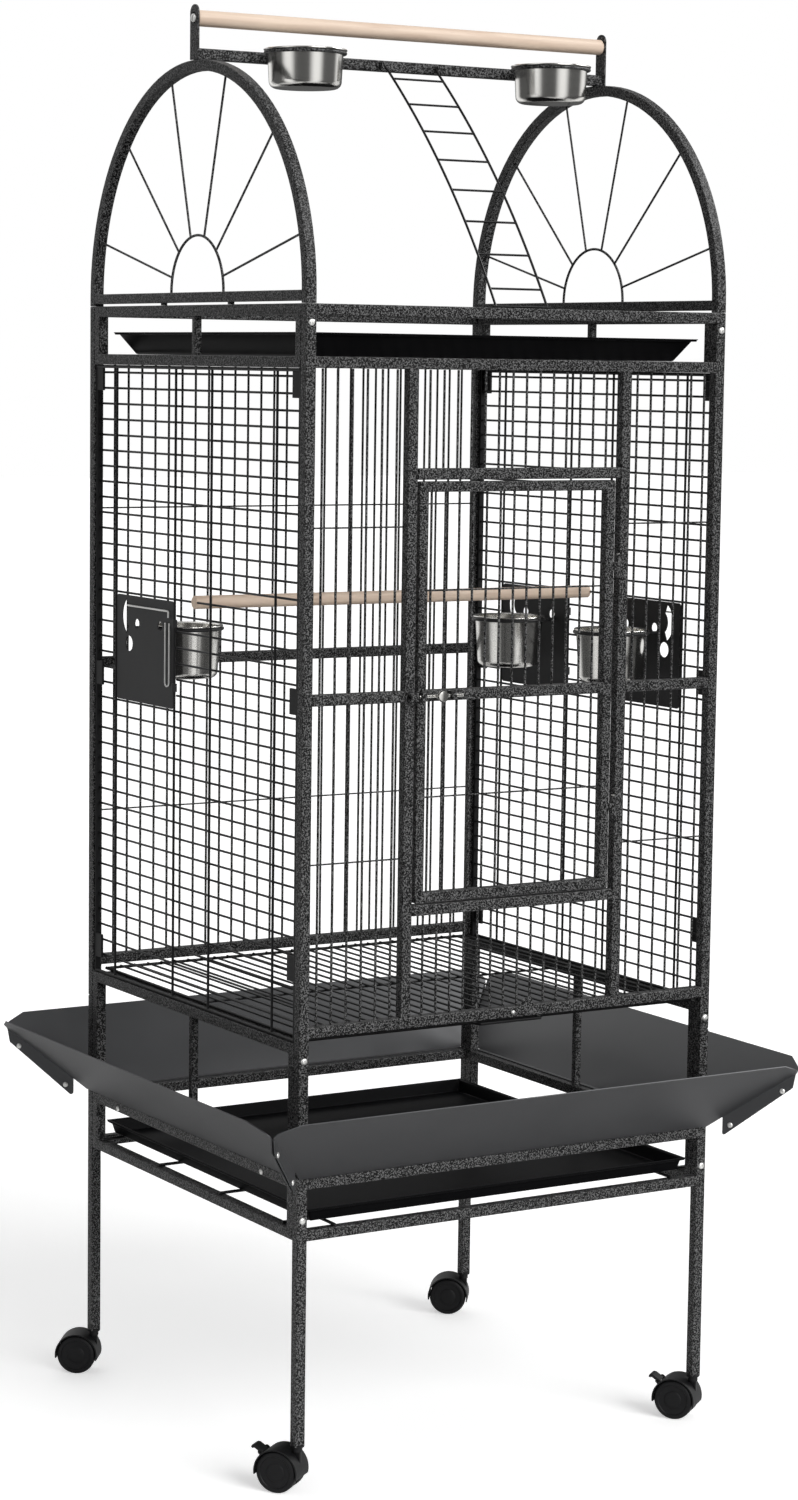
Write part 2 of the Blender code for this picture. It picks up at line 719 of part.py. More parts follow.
def arch(name, side, look):
    """A half-round end frame of the play top with its sunburst of spokes."""
    outer = HALF_Y
    inner = outer - TUBE
    foot = TOP + GAP
    rim = arc((0.0, ARCH_CENTRE), outer, 0, 180, ARCH_STEPS)
    inside = arc((0.0, ARCH_CENTRE), inner, 180, 0, ARCH_STEPS)
    outline = [(outer, foot)] + rim + [(-outer, foot), (-inner, foot)] + inside + [(inner, foot)]
    place = plane_matrix((side * POST_X, 0, 0), (0, 1, 0), (0, 0, 1))
    shapes = [plate(outline, TUBE, place)]
    base = (TOP + ARCH_BASE_GAP, TOP + ARCH_BASE_GAP + ARCH_BASE_TALL)
    shapes.append(block(span(side, HALF_X, INNER_X), (-inner - WELD, inner + WELD), base))
    x = side * POST_X
    hoop_centre = base[1] + 0.001
    hoop = [(x, HOOP_RADIUS, base[1] - WELD)]
    hoop += [(x, y, z) for y, z in arc((0.0, hoop_centre), HOOP_RADIUS, 0, 180, 14)]
    hoop.append((x, -HOOP_RADIUS, base[1] - WELD))
    shapes.append(bent_wire(hoop, HOOP_WIRE))
    for angle in SPOKE_ANGLES:
        turn = math.radians(angle)
        start = (x, HOOP_RADIUS * math.cos(turn), hoop_centre + HOOP_RADIUS * math.sin(turn))
        reach = inner + WELD
        end = (x, reach * math.cos(turn), ARCH_CENTRE + reach * math.sin(turn))
        shapes.append(rod(start, end, SPOKE_WIRE))
    for y in (-0.085, 0.085):
        shapes.append(rod((x, y, TOP + GAP), (x, y, base[0] + WELD), 0.008, 8))
    return fuse(name, look, shapes)


def perch_stand(look):
    """The square bar across both arches, with cup rings, ladder lugs and end brackets."""
    half = TUBE / 2
    bar_z = (CUP_BAR, CUP_BAR + TUBE)
    shapes = [block((-HALF_X + BRACKET_THICK / 2, HALF_X - BRACKET_THICK / 2), (-half, half), bar_z)]
    cuts = []
    outline = rounded_strip(BRACKET_WIDE / 2, 0.0, BRACKET_TALL)
    hole = slot((0.0, BRACKET_TALL - PERCH_DROP), PERCH_BOLT / 2 + GAP, 0.004)
    for side in (-1, 1):
        place = plane_matrix((side * (HALF_X - BRACKET_THICK / 2), 0, CUP_BAR), (0, 1, 0), (0, 0, 1))
        shapes.append(plate(outline, BRACKET_THICK, place, [hole]))
    ring_z = CUP_BAR + TUBE - RING_WIRE / 2 - 0.0012
    radius = CUP_BODY / 2 + GAP + RING_WIRE / 2
    for side in (-1, 1):
        shapes.append(ring((side * CUP_X, -CUP_FORWARD, ring_z), radius, RING_WIRE))
        shapes.append(block((side * CUP_X - 0.010, side * CUP_X + 0.010),
                            (-CUP_FORWARD + radius - 0.0005, -half + WELD),
                            (ring_z - 0.0015, ring_z + 0.0015)))
    pivot_y, pivot_z = LADDER_PIVOT
    for side in (-1, 1):
        outer = side * (LADDER_HALF_WIDTH + LADDER_WIRE / 2 + 0.001)
        shapes.append(block((outer, outer + side * 0.003), (pivot_y - 0.0035, -half + WELD),
                            (pivot_z - 0.0035, pivot_z + 0.0035)))
        cuts.append(rod((outer - side * WELD, pivot_y, pivot_z), (outer + side * 0.004, pivot_y, pivot_z),
                        LADDER_WIRE + 2 * GAP, 8))
    return fuse("perch_stand", look, shapes, cuts)


def top_perch(look):
    """The round wooden perch between the brackets, bored at both ends for its bolts."""
    end = HALF_X - BRACKET_THICK - GAP
    z = PERCH_Z
    cuts = []
    for side in (-1, 1):
        cuts.append(rod((side * (end - 0.022), 0, z), (side * (end + WELD), 0, z),
                        PERCH_BOLT + 2 * GAP, 8))
    return fuse("top_perch", look, [rod((-end, 0, z), (end, 0, z), PERCH_DIAMETER, 16)], cuts, smooth=40)


def perch_bolt(name, side, look):
    """A round-headed bolt through the bracket's slot into the end of the top perch."""
    z = PERCH_Z
    head = HALF_X + GAP
    shapes = [rod((side * head, 0, z), (side * (head + 0.003), 0, z), BOLT_HEAD, 10),
              rod((side * (HALF_X - BRACKET_THICK - 0.018), 0, z), (side * (head + WELD), 0, z),
                  PERCH_BOLT, 8)]
    return fuse(name, look, shapes)


def ladder_point(share):
    """A point on the bowed side wires, at a share of the way from the pivot to the foot."""
    pivot = Vector((0.0, *LADDER_PIVOT))
    foot = Vector((0.0, *LADDER_FOOT))
    chord = foot - pivot
    out = Vector((0.0, chord.z, -chord.y)).normalized()
    return pivot + chord * share + out * LADDER_BOW * 4 * share * (1 - share)


def ladder(look):
    """Two bowed side wires that hook in the bar's lugs and stand on the front rail, with rungs."""
    pivot_y, pivot_z = LADDER_PIVOT
    foot_y, foot_z = LADDER_FOOT
    shares = [0.066 + 0.1245 * rung for rung in range(RUNGS)]
    steps = [ladder_point(share) for share in shares]
    shapes = []
    for side in (-1, 1):
        x = side * LADDER_HALF_WIDTH
        hook = x + side * (LADDER_WIRE / 2 + 0.006)
        line = [(hook, pivot_y, pivot_z), (x, pivot_y, pivot_z)]
        line += [(x, step.y, step.z) for step in steps]
        line.append((x, foot_y, foot_z))
        shapes.append(bent_wire(line, LADDER_WIRE))
    foot_reach = LADDER_HALF_WIDTH + 0.004
    shapes.append(rod((-foot_reach, foot_y, foot_z), (foot_reach, foot_y, foot_z), RUNG_WIRE))
    for step in steps:
        y = step.y + 0.0005
        shapes.append(rod((-LADDER_HALF_WIDTH, y, step.z), (LADDER_HALF_WIDTH, y, step.z), RUNG_WIRE))
    return fuse("ladder", look, shapes, origin=(0.0, pivot_y, pivot_z))


def tray(name, floor_z, height, rim_half, floor_half, look):
    """A folded sheet tray: floor, four leaning walls and a rolled-out lip."""
    lip_half = (rim_half[0] - TRAY_LIP, rim_half[1] - TRAY_LIP)
    sheet = bmesh.new()
    rows = []
    for half, z in ((floor_half, floor_z), (lip_half, floor_z + height), (rim_half, floor_z + height)):
        rows.append([sheet.verts.new((sx * half[0], sy * half[1], z + SHEET / 2))
                     for sx, sy in ((-1, -1), (1, -1), (1, 1), (-1, 1))])
    sheet.faces.new(rows[0])
    for lower, upper in zip(rows, rows[1:]):
        for index in range(4):
            after = (index + 1) % 4
            sheet.faces.new((lower[index], lower[after], upper[after], upper[index]))
    bmesh.ops.recalc_face_normals(sheet, faces=sheet.faces)
    shape = from_bmesh("tray", sheet)
    wall = shape.modifiers.new("Wall", "SOLIDIFY")
    wall.thickness = SHEET
    wall.offset = 0.0
    wall.use_even_offset = True
    return fuse(name, look, [workshop_object("tray", settled_mesh(shape))])


def main_door(look):
    """The large barred door with its middle rail, hinge knuckles and latch guides."""
    depth = span(-1, HALF_Y, INNER_Y)
    low = DOOR_SILL + TUBE + DOOR_PLAY
    high = DOOR_LINTEL - DOOR_PLAY
    left = DOOR_LATCH_SIDE
    right = DOOR_HINGE_SIDE
    shapes = [block((left, left + DOOR_MEMBER), depth, (low, high)),
              block((right - DOOR_MEMBER, right), depth, (low, high))]
    inside = (left + DOOR_MEMBER - WELD, right - DOOR_MEMBER + WELD)
    for foot, height in ((low, DOOR_MEMBER), (MID_RAIL, TUBE), (high - DOOR_MEMBER, DOOR_MEMBER)):
        shapes.append(block(inside, depth, tall(foot, height)))
    for x in spread(DOOR_BARS, BAR_PITCH, (left + right) / 2 - 0.003):
        shapes.append(rod((x, -POST_Y, low + DOOR_MEMBER - WELD), (x, -POST_Y, high - DOOR_MEMBER + WELD),
                          BAR))
    wire_y = -POST_Y + BAR / 2 + CROSS_WIRE / 2 + GAP
    for height in DOOR_CROSS_WIRES:
        shapes.append(rod((inside[0], wire_y, height), (inside[1], wire_y, height), CROSS_WIRE, 4))
    cuts = []
    for height in HINGE_HEIGHTS:
        half = KNUCKLE / 2
        band = (height - half, height + half)
        shapes.append(rod((HINGE_X, HINGE_Y, band[0]), (HINGE_X, HINGE_Y, band[1]), HINGE_BARREL, 8))
        shapes.append(block((right - WELD, HINGE_X), (HINGE_Y - 0.0014, -HALF_Y + WELD), band))
        cuts.append(rod((HINGE_X, HINGE_Y, band[0] - WELD), (HINGE_X, HINGE_Y, band[1] + WELD),
                        HINGE_PIN + 2 * GAP, 8))
    for x_span in latch_guides():
        shapes.append(latch_block(x_span))
        cuts.append(latch_bore((x_span[0] - WELD, x_span[1] + WELD)))
    return fuse("main_door", look, shapes, cuts, origin=(HINGE_X, HINGE_Y, (low + high) / 2))


def latch_guides():
    """Both guide blocks of the latch on the door."""
    return ((DOOR_LATCH_SIDE + 0.001, DOOR_LATCH_SIDE + 0.007),
            (LATCH_KNOB_X + 0.014, LATCH_KNOB_X + 0.020))


def door_latch(look):
    """The sliding bolt and its round pull knob."""
    depth, height = latch_axis()
    start = DOOR_LATCH_SIDE - 0.001
    end = LATCH_KNOB_X + 0.022 + LATCH_TRAVEL
    face = depth - LATCH_BOLT / 2
    shapes = [rod((start, depth, height), (end, depth, height), LATCH_BOLT, 8),
              rod((LATCH_KNOB_X, depth, height), (LATCH_KNOB_X, face - 0.002, height), 0.006, 8),
              rod((LATCH_KNOB_X, face - 0.0015, height), (LATCH_KNOB_X, face - 0.0065, height),
                  LATCH_KNOB, ROUND_SIDES)]
    return fuse("door_latch", look, shapes, origin=(LATCH_KNOB_X, depth, height))


def hinge_pin(name, height, look):
    """A headed pin through the three knuckles of one door hinge."""
    reach = 1.5 * KNUCKLE + GAP
    x, y = HINGE_X, HINGE_Y
    shapes = [rod((x, y, height - reach), (x, y, height + reach + WELD), HINGE_PIN, 8),
              rod((x, y, height + reach + GAP), (x, y, height + reach + 0.0018), 0.0044, 8)]
    return fuse(name, look, shapes)


def inner_perch(look):
    """The perch across the cage; slots in its ends straddle a level wire of each side."""
    wire_z = mesh_heights()[FEEDER_WIRES_CUT[0] - 1]
    end = MESH_X + MESH_WIRE / 2
    radius = INNER_PERCH_DIAMETER / 2
    slot_half = MESH_WIRE / 2 + GAP
    cuts = []
    for side in (-1, 1):
        cuts.append(block((side * (MESH_X - MESH_WIRE / 2 - 0.002), side * (end + WELD)),
                          (-radius - WELD, radius + WELD), (wire_z - slot_half, wire_z + slot_half)))
    return fuse("inner_perch", look, [rod((-end, 0, wire_z), (end, 0, wire_z), INNER_PERCH_DIAMETER, 14)],
                cuts, smooth=40)


def floor_grate(look):
    """The pull-out wire floor: front-to-back bars on border wires, with a pull loop."""
    half_x, half_y = GRATE_HALF
    z = GRATE_BORDER_Z
    shapes = []
    side_x = half_x - 0.003
    for side in (-1, 1):
        shapes.append(rod((side * side_x, -half_y - 0.0018, z), (side * side_x, half_y + 0.0018, z),
                          BORDER_WIRE))
    for y in (-half_y, half_y):
        shapes.append(rod((-side_x - 0.0006, y, z + 0.0001), (side_x + 0.0006, y, z + 0.0001),
                          BORDER_WIRE * 0.9))
    shapes.append(rod((-side_x - 0.0006, 0.0, z - 0.0005), (side_x + 0.0006, 0.0, z - 0.0005), 0.0028))
    for x in fitted(-side_x, side_x, GRATE_PITCH):
        shapes.append(rod((x, -half_y - 0.0006, GRATE_BAR_Z), (x, half_y + 0.0006, GRATE_BAR_Z), GRATE_BAR,
                          FINE_SIDES))
    loop_y = -HALF_Y + BORDER_WIRE / 2 + 0.001
    shapes.append(bent_wire([(-GRATE_LOOP_HALF, -half_y, z + 0.0001),
                             (-GRATE_LOOP_HALF + 0.004, loop_y, z + 0.0001),
                             (GRATE_LOOP_HALF - 0.004, loop_y, z + 0.0001),
                             (GRATE_LOOP_HALF, -half_y, z + 0.0001)], BORDER_WIRE * 0.9))
    return fuse("floor_grate", look, shapes)


def tray_rack(look):
    """The wire rack that the bottom tray slides on."""
    reach_x = HALF_X - 0.002
    reach_y = HALF_Y - 0.002
    shapes = []
    for y in (-RACK_Y[1], -RACK_Y[0], RACK_Y[0], RACK_Y[1]):
        shapes.append(rod((-reach_x, y, RACK_Z), (reach_x, y, RACK_Z), BORDER_WIRE))
    for x in (-RACK_X, RACK_X):
        shapes.append(rod((x, -reach_y, RACK_Z + 0.0001), (x, reach_y, RACK_Z + 0.0001), BORDER_WIRE * 0.9))
    return fuse("tray_rack", look, shapes)


def grate_lock(look):
    """A riveted bell-shaped tab on the bottom rail, turned aside to free the grate."""
    y = -HALF_Y - GAP - TAB_PLATE / 2
    outline = [(-TAB_BELL, -TAB_LENGTH + 0.003), (-TAB_BELL + 0.003, -TAB_LENGTH),
               (TAB_BELL - 0.003, -TAB_LENGTH), (TAB_BELL, -TAB_LENGTH + 0.003),
               (TAB_BELL * 0.9, -TAB_LENGTH * 0.55), (TAB_NECK, -TAB_LENGTH * 0.30)]
    outline += arc((0.0, 0.0), TAB_NECK, 0, 180, 6)
    outline.append((-TAB_NECK, -TAB_LENGTH * 0.30))
    outline.append((-TAB_BELL * 0.9, -TAB_LENGTH * 0.55))
    turn = Matrix.Rotation(math.radians(-TAB_TURNED), 4, "Y")
    place = Matrix.Translation((0.0, y, LOCK_PIVOT)) @ turn @ plane_matrix((0, 0, 0), (1, 0, 0), (0, 0, 1))
    rivet = [rod((0, y, LOCK_PIVOT), (0, y - 0.0026, LOCK_PIVOT), 0.005, 8)]
    return fuse("grate_lock_tab", look, [plate(outline, TAB_PLATE, place)] + rivet,
                origin=(0.0, y, LOCK_PIVOT))


def base_frame(name, side, look):
    """Two legs of the stand with their rails, spigots on top and caster sockets below."""
    depth = span(side, HALF_Y, INNER_Y)
    top = POST_FOOT - GAP
    shapes = []
    cuts = []
    for x_side in (-1, 1):
        shapes.append(block(span(x_side, HALF_X, INNER_X), depth, (LEG_FOOT + 0.0005, top)))
        x = x_side * POST_X
        y = side * POST_Y
        half = SPIGOT / 2
        shapes.append(block((x - half, x + half), (y - half, y + half), (top - WELD, POST_FOOT + SPIGOT_TALL)))
        shapes.append(rod((x, y, LEG_FOOT), (x, y, LEG_FOOT + LEG_PLUG_TALL), LEG_PLUG, 10))
        cuts.append(rod((x, y, LEG_FOOT - WELD), (x, y, LEG_FOOT + STEM_DEEP + GAP), STEM + 2 * GAP,
                        ROUND_SIDES))
    for foot in (STAND_RAIL, SKIRT_RAIL):
        shapes.append(block((-INNER_X - WELD, INNER_X + WELD), depth, tall(foot)))
    return fuse(name, look, shapes, cuts)


def side_base_frame(name, side, look):
    """The ladder-like frame between front and rear legs, with the runner for the grate."""
    width = span(side, HALF_X, INNER_X)
    reach = INNER_Y - GAP
    shapes = [block(width, (end * (reach - TUBE), end * reach), (STAND_RAIL, SIDE_SILL + TUBE))
              for end in (-1, 1)]
    inside = reach - TUBE + WELD
    for foot in (STAND_RAIL, SKIRT_RAIL, SIDE_SILL):
        shapes.append(block(width, (-inside, inside), tall(foot)))
    shapes.append(block(span(side, INNER_X + SIDE_UPRIGHT, INNER_X), (-SIDE_UPRIGHT / 2, SIDE_UPRIGHT / 2),
                        (SKIRT_RAIL + TUBE - WELD, SIDE_SILL + WELD)))
    shapes.append(block(span(side, INNER_X + WELD, INNER_X - RUNNER_WIDE), (-inside, inside),
                        (SIDE_SILL + TUBE - RUNNER_TALL, SIDE_SILL + TUBE)))
    return fuse(name, look, shapes)


def skirt(name, outward, along, half_body, half_length, lip_half, look):
    """One sloping seed skirt with a lip on its rail and a screw flange at each corner."""
    outward = Vector(outward)
    along = Vector(along)
    inset = SKIRT_SHEET / 2 + GAP

    def spot(across, out, drop=0.0):
        level = SKIRT_FOOT + SKIRT_SLOPE * max(out, 0.0) - drop
        return outward * (half_body + SKIRT_STAND_OFF + out) + along * across + Vector((0, 0, level))

    sheet = bmesh.new()
    ends = ((0.0, 0.0), (SKIRT_TIP, SKIRT_TIP), (SKIRT_TIP - 0.005, SKIRT_TIP + 0.007),
            (SKIRT_TOP_CUT, SKIRT_OUT))
    sides = []
    for sign in (-1, 1):
        sides.append([sheet.verts.new(spot(sign * (half_length + a - inset), out)) for a, out in ends])
    left, right = sides
    lips = []
    feet = []
    for sign in (-1, 1):
        feet.append(sheet.verts.new(spot(sign * lip_half, 0.0)))
        lips.append(sheet.verts.new(spot(sign * lip_half, -SKIRT_LIP - SKIRT_STAND_OFF)))
    start = 0.014
    lows = [sheet.verts.new(spot(sign * (half_length + start - inset), start)) for sign in (-1, 1)]
    sheet.faces.new([left[0], feet[0], feet[1], right[0], lows[1], *right[1:], *reversed(left[1:]), lows[0]])
    sheet.faces.new([feet[0], lips[0], lips[1], feet[1]])
    hems = ((SKIRT_TIP - 0.004, SKIRT_FLANGE_TIP), (start + SKIRT_FLANGE_CORNER, SKIRT_FLANGE),
            (start, SKIRT_FLANGE - SKIRT_FLANGE_CORNER))
    for sign, edge, low in ((-1, left, lows[0]), (1, right, lows[1])):
        hem = [sheet.verts.new(spot(sign * (half_length + out - inset), out, drop)) for out, drop in hems]
        sheet.faces.new([low, edge[1], *hem])
    bmesh.ops.recalc_face_normals(sheet, faces=sheet.faces)
    shape = from_bmesh("skirt", sheet)
    wall = shape.modifiers.new("Wall", "SOLIDIFY")
    wall.thickness = SKIRT_SHEET
    wall.offset = 0.0
    return fuse(name, look, [workshop_object("skirt", settled_mesh(shape))])


def caster_place(x_side, y_side):
    """Middle of a leg, and middle of the wheel that trails behind it."""
    leg = (x_side * POST_X, y_side * POST_Y)
    return leg, (leg[0] - CASTER_TRAIL, leg[1])


def swivelled(piece, x_side, y_side):
    """Turn a caster's piece about its stem to where the caster stands at rest."""
    turn = Matrix.Rotation(math.radians(CASTER_TURNS[y_side]), 4, "Z")
    stem = Vector((x_side * POST_X, y_side * POST_Y, 0.0))
    piece.data.transform(turn)
    piece.location = stem + turn @ (piece.location - stem)
    return piece


def caster_body(name, x_side, y_side, braked, look):
    """Stem, collar, curved hood and the web between the twin wheels."""
    leg, wheel = caster_place(x_side, y_side)
    inner = WHEEL_RADIUS + HOOD_CLEAR
    outer = inner + HOOD_THICK
    hood_half = WHEEL_SPLIT + WHEEL_WIDE + 0.0005
    web_half = WHEEL_SPLIT - 0.0008
    hood = arc((0.0, 0.0), outer, -14, 190, 11) + arc((0.0, 0.0), inner, 190, -14, 11)
    centre = (wheel[0], wheel[1], WHEEL_RADIUS)
    place = plane_matrix(centre, (1, 0, 0), (0, 0, 1))
    x, y = leg
    shapes = [plate(hood, 2 * hood_half, place),
              rod((x, y, LEG_FOOT - 0.0055), (x, y, LEG_FOOT - GAP), 0.012, 10),
              block((x - 0.0050, x + 0.0050), (y - web_half, y + web_half), (0.034, LEG_FOOT - 0.005)),
              rod((x, y, LEG_FOOT - 0.0045), (x, y, LEG_FOOT + STEM_DEEP), STEM, ROUND_SIDES)]
    web = arc((0.0, 0.0), inner + WELD, 20, 150, 6) + arc((0.0, 0.0), 0.006, 190, 330, 3)
    shapes.append(plate(web, 2 * web_half, place))
    cuts = [rod((wheel[0], wheel[1] - 0.010, WHEEL_RADIUS), (wheel[0], wheel[1] + 0.010, WHEEL_RADIUS),
                AXLE + 2 * GAP, ROUND_SIDES)]
    if braked:
        pivot_x, pivot_z = brake_pivot(wheel)
        root_x = wheel[0] + (pivot_x - wheel[0]) * 0.88
        root_z = WHEEL_RADIUS + (pivot_z - WHEEL_RADIUS) * 0.88
        for end in (-1, 1):
            ear_y = (wheel[1] + end * 0.0085, wheel[1] + end * 0.0105)
            ear = plane_matrix((pivot_x, (ear_y[0] + ear_y[1]) / 2, pivot_z), (1, 0, 0), (0, 0, 1))
            loop = arc((0.0, 0.0), 0.0032, 48, 228, 4)
            toward = (root_x - pivot_x, root_z - pivot_z)
            loop += [(toward[0] + spot[0], toward[1] + spot[1]) for spot in (loop[-1], loop[0])]
            shapes.append(plate(loop, 0.002, ear))
        cuts.append(rod((pivot_x, wheel[1] - 0.012, pivot_z), (pivot_x, wheel[1] + 0.012, pivot_z),
                        BRAKE_PIN + 2 * GAP))
    return swivelled(fuse(name, look, shapes, cuts, origin=(x, y, WHEEL_RADIUS)), x_side, y_side)


def brake_pivot(wheel):
    """Where a brake lever turns, just outside the back of the hood."""
    turn = math.radians(BRAKE_PIVOT_ANGLE)
    return (wheel[0] + BRAKE_PIVOT_OUT * math.cos(turn), WHEEL_RADIUS + BRAKE_PIVOT_OUT * math.sin(turn))


def caster_wheels(name, x_side, y_side, look):
    """Twin wheels on one axle."""
    _, wheel = caster_place(x_side, y_side)
    rim = WHEEL_RADIUS
    near = WHEEL_SPLIT
    far = WHEEL_SPLIT + WHEEL_WIDE
    profile = [(0.0, far), (rim - 0.003, far), (rim, far - 0.003), (rim, near), (AXLE / 2, near)]
    profile += [(radius, -height) for radius, height in reversed(profile)]
    place = plane_matrix((wheel[0], wheel[1], WHEEL_RADIUS), (1, 0, 0), (0, 0, 1))
    piece = fuse(name, look, [turned(profile, place, 16)], smooth=35,
                 origin=(wheel[0], wheel[1], WHEEL_RADIUS))
    return swivelled(piece, x_side, y_side)


def brake_lever(name, x_side, y_side, look):
    """The foot lever of a braked caster, a hooked tab that stands off the hood."""
    _, wheel = caster_place(x_side, y_side)
    pivot_x, pivot_z = brake_pivot(wheel)
    turn = math.radians(BRAKE_PIVOT_ANGLE + 9)
    across = (math.cos(turn), 0, math.sin(turn))
    up = (-math.sin(turn), 0, math.cos(turn))
    outline = [(-0.0019, -0.0019), (0.0095, -0.0019), (0.0132, 0.0006), (0.0130, 0.0040), (0.0102, 0.0040),
               (0.0088, 0.0019), (-0.0019, 0.0019)]
    place = plane_matrix((pivot_x, wheel[1], pivot_z), across, up)
    shapes = [plate(outline, 0.0160, place),
              rod((pivot_x, wheel[1] - 0.0105, pivot_z), (pivot_x, wheel[1] + 0.0105, pivot_z), BRAKE_PIN)]
    return swivelled(fuse(name, look, shapes, origin=(pivot_x, wheel[1], pivot_z)), x_side, y_side)


def build():
    """Make every piece of the cage."""
    clear_scene()
    hammered = finish("hammered_frame", (0.075, 0.077, 0.080), 0.42, 0.6)
    black_wire = finish("black_wire", (0.020, 0.020, 0.022), 0.40, 0.5)
    tray_black = finish("tray_black", (0.012, 0.012, 0.013), 0.30, 0.2)
    skirt_grey = finish("skirt_grey", (0.055, 0.056, 0.058), 0.42, 0.4)
    wood = finish("perch_wood", (0.56, 0.37, 0.24), 0.60, 0.0)
    steel = finish("bright_steel", (0.56, 0.55, 0.53), 0.16, 1.0)
    plastic = finish("black_plastic", (0.010, 0.010, 0.011), 0.45, 0.0)

    front_frame(hammered)
    front_side_grille("front_left_grille", -1, hammered)
    front_side_grille("front_right_grille", 1, hammered)
    front_over_door("front_lintel_grille", DOOR_LINTEL, DOOR_LINTEL + TUBE - WELD, ROOF_RAIL - GAP, hammered)
    front_over_door("front_sill_grille", DOOR_SILL, BOTTOM_RAIL + TUBE + GAP, DOOR_SILL + WELD, hammered)
    rear_panel(hammered)
    side_panel("left_side_panel", -1, (1,), black_wire)
    side_panel("right_side_panel", 1, (-1, 1), black_wire)
    side_upper_frame("left_upper_frame", -1, hammered)
    side_upper_frame("right_upper_frame", 1, hammered)
    roof_grille(black_wire)

    main_door(hammered)
    door_latch(steel)
    for name, height in zip(("lower_hinge_pin", "upper_hinge_pin"), HINGE_HEIGHTS):
        hinge_pin(name, height, steel)

    feeders = (("left", -1, 1, 0.079), ("right_front", 1, -1, 0.086), ("right_rear", 1, 1, 0.056))
    for place, side, middle_side, bowl_out in feeders:
        feeder_door(place + "_feeder_door", side, middle_side, bowl_out, black_wire)
        centre = feeder_bowl_centre(side, middle_side, bowl_out)
        bowl(place + "_bowl", centre, BOWL_TOP, BOWL_BODY, BOWL_RIM, BOWL_HEIGHT, steel)
    inner_perch(wood)
    floor_grate(black_wire)
    grate_lock(hammered)

    arch("left_arch", -1, hammered)
    arch("right_arch", 1, hammered)
    perch_stand(hammered)
    top_perch(wood)
    perch_bolt("left_perch_bolt", -1, steel)
    perch_bolt("right_perch_bolt", 1, steel)
    cup_top = CUP_BAR + TUBE - 0.0012 + GAP + 0.0022
    for name, side in (("left_cup", -1), ("right_cup", 1)):
        bowl(name, (side * CUP_X, -CUP_FORWARD), cup_top, CUP_BODY, CUP_RIM, CUP_HEIGHT, steel)
    ladder(black_wire)
    tray("top_tray", ROOF_RAIL + TUBE + GAP, TOP_TRAY_TALL, TOP_TRAY_HALF, TOP_TRAY_FLOOR_HALF, tray_black)

    base_frame("front_base_frame", -1, hammered)
    base_frame("rear_base_frame", 1, hammered)
    side_base_frame("left_base_frame", -1, hammered)
    side_base_frame("right_base_frame", 1, hammered)
    tray_rack(black_wire)
    tray("bottom_tray", RACK_Z + BORDER_WIRE / 2 + GAP, BOTTOM_TRAY_TALL, BOTTOM_TRAY_HALF,
         BOTTOM_TRAY_FLOOR_HALF, tray_black)
    long_lip = INNER_X - GAP
    short_lip = INNER_Y - TUBE - 2 * GAP
    skirt("front_skirt", (0, -1, 0), (1, 0, 0), HALF_Y, HALF_X, long_lip, skirt_grey)
    skirt("rear_skirt", (0, 1, 0), (-1, 0, 0), HALF_Y, HALF_X, long_lip, skirt_grey)
    skirt("left_skirt", (-1, 0, 0), (0, -1, 0), HALF_X, HALF_Y, short_lip, skirt_grey)
    skirt("right_skirt", (1, 0, 0), (0, 1, 0), HALF_X, HALF_Y, short_lip, skirt_grey)

    corners = (("front_left", -1, -1), ("front_right", 1, -1), ("rear_left", -1, 1), ("rear_right", 1, 1))
    for place, x_side, y_side in corners:
        braked = y_side < 0
        caster_body(place + "_caster_body", x_side, y_side, braked, plastic)
        caster_wheels(place + "_caster_wheels", x_side, y_side, plastic)
        if braked:
            brake_lever(place + "_brake_lever", x_side, y_side, plastic)


build()
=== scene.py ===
"""Looks of a play-top bird cage on a wheeled stand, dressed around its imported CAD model."""

import math
import bmesh
import bpy
from bpy.props import FloatProperty, FloatVectorProperty, IntProperty, PointerProperty
from mathutils import Matrix, Vector


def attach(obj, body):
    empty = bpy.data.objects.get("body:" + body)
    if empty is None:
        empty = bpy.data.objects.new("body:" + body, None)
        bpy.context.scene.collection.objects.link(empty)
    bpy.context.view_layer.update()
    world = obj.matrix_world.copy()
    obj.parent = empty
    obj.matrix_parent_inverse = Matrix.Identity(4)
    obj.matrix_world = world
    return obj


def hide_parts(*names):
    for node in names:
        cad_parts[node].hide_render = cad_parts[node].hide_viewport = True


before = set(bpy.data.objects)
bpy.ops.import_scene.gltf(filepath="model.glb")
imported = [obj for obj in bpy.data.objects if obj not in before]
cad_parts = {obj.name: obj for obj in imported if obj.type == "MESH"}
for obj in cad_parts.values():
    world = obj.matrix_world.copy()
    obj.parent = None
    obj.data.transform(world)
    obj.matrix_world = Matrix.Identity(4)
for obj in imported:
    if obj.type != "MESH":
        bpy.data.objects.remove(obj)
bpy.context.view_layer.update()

bl_info = {
    "name": "Play-top bird cage",
    "version": (1, 0, 0),
    "blender": (4, 5, 0),
    "location": "3D View > Sidebar > Bird Cage",
    "description": "Models and finishes a barred bird cage with its stand, trays, perches and casters",
    "category": "Object",
}

# Cage body and its square tube, as in the CAD model
HALF_X = 0.291
HALF_Y = 0.275
TUBE = 0.013
INNER_X = HALF_X - TUBE
INNER_Y = HALF_Y - TUBE
POST_X = HALF_X - TUBE / 2
POST_Y = HALF_Y - TUBE / 2

# Clearance between pieces, bite of one tube into the next, and distance at which points are merged
GAP = 0.0003
OVERLAP = 0.001
MERGE = 0.000005

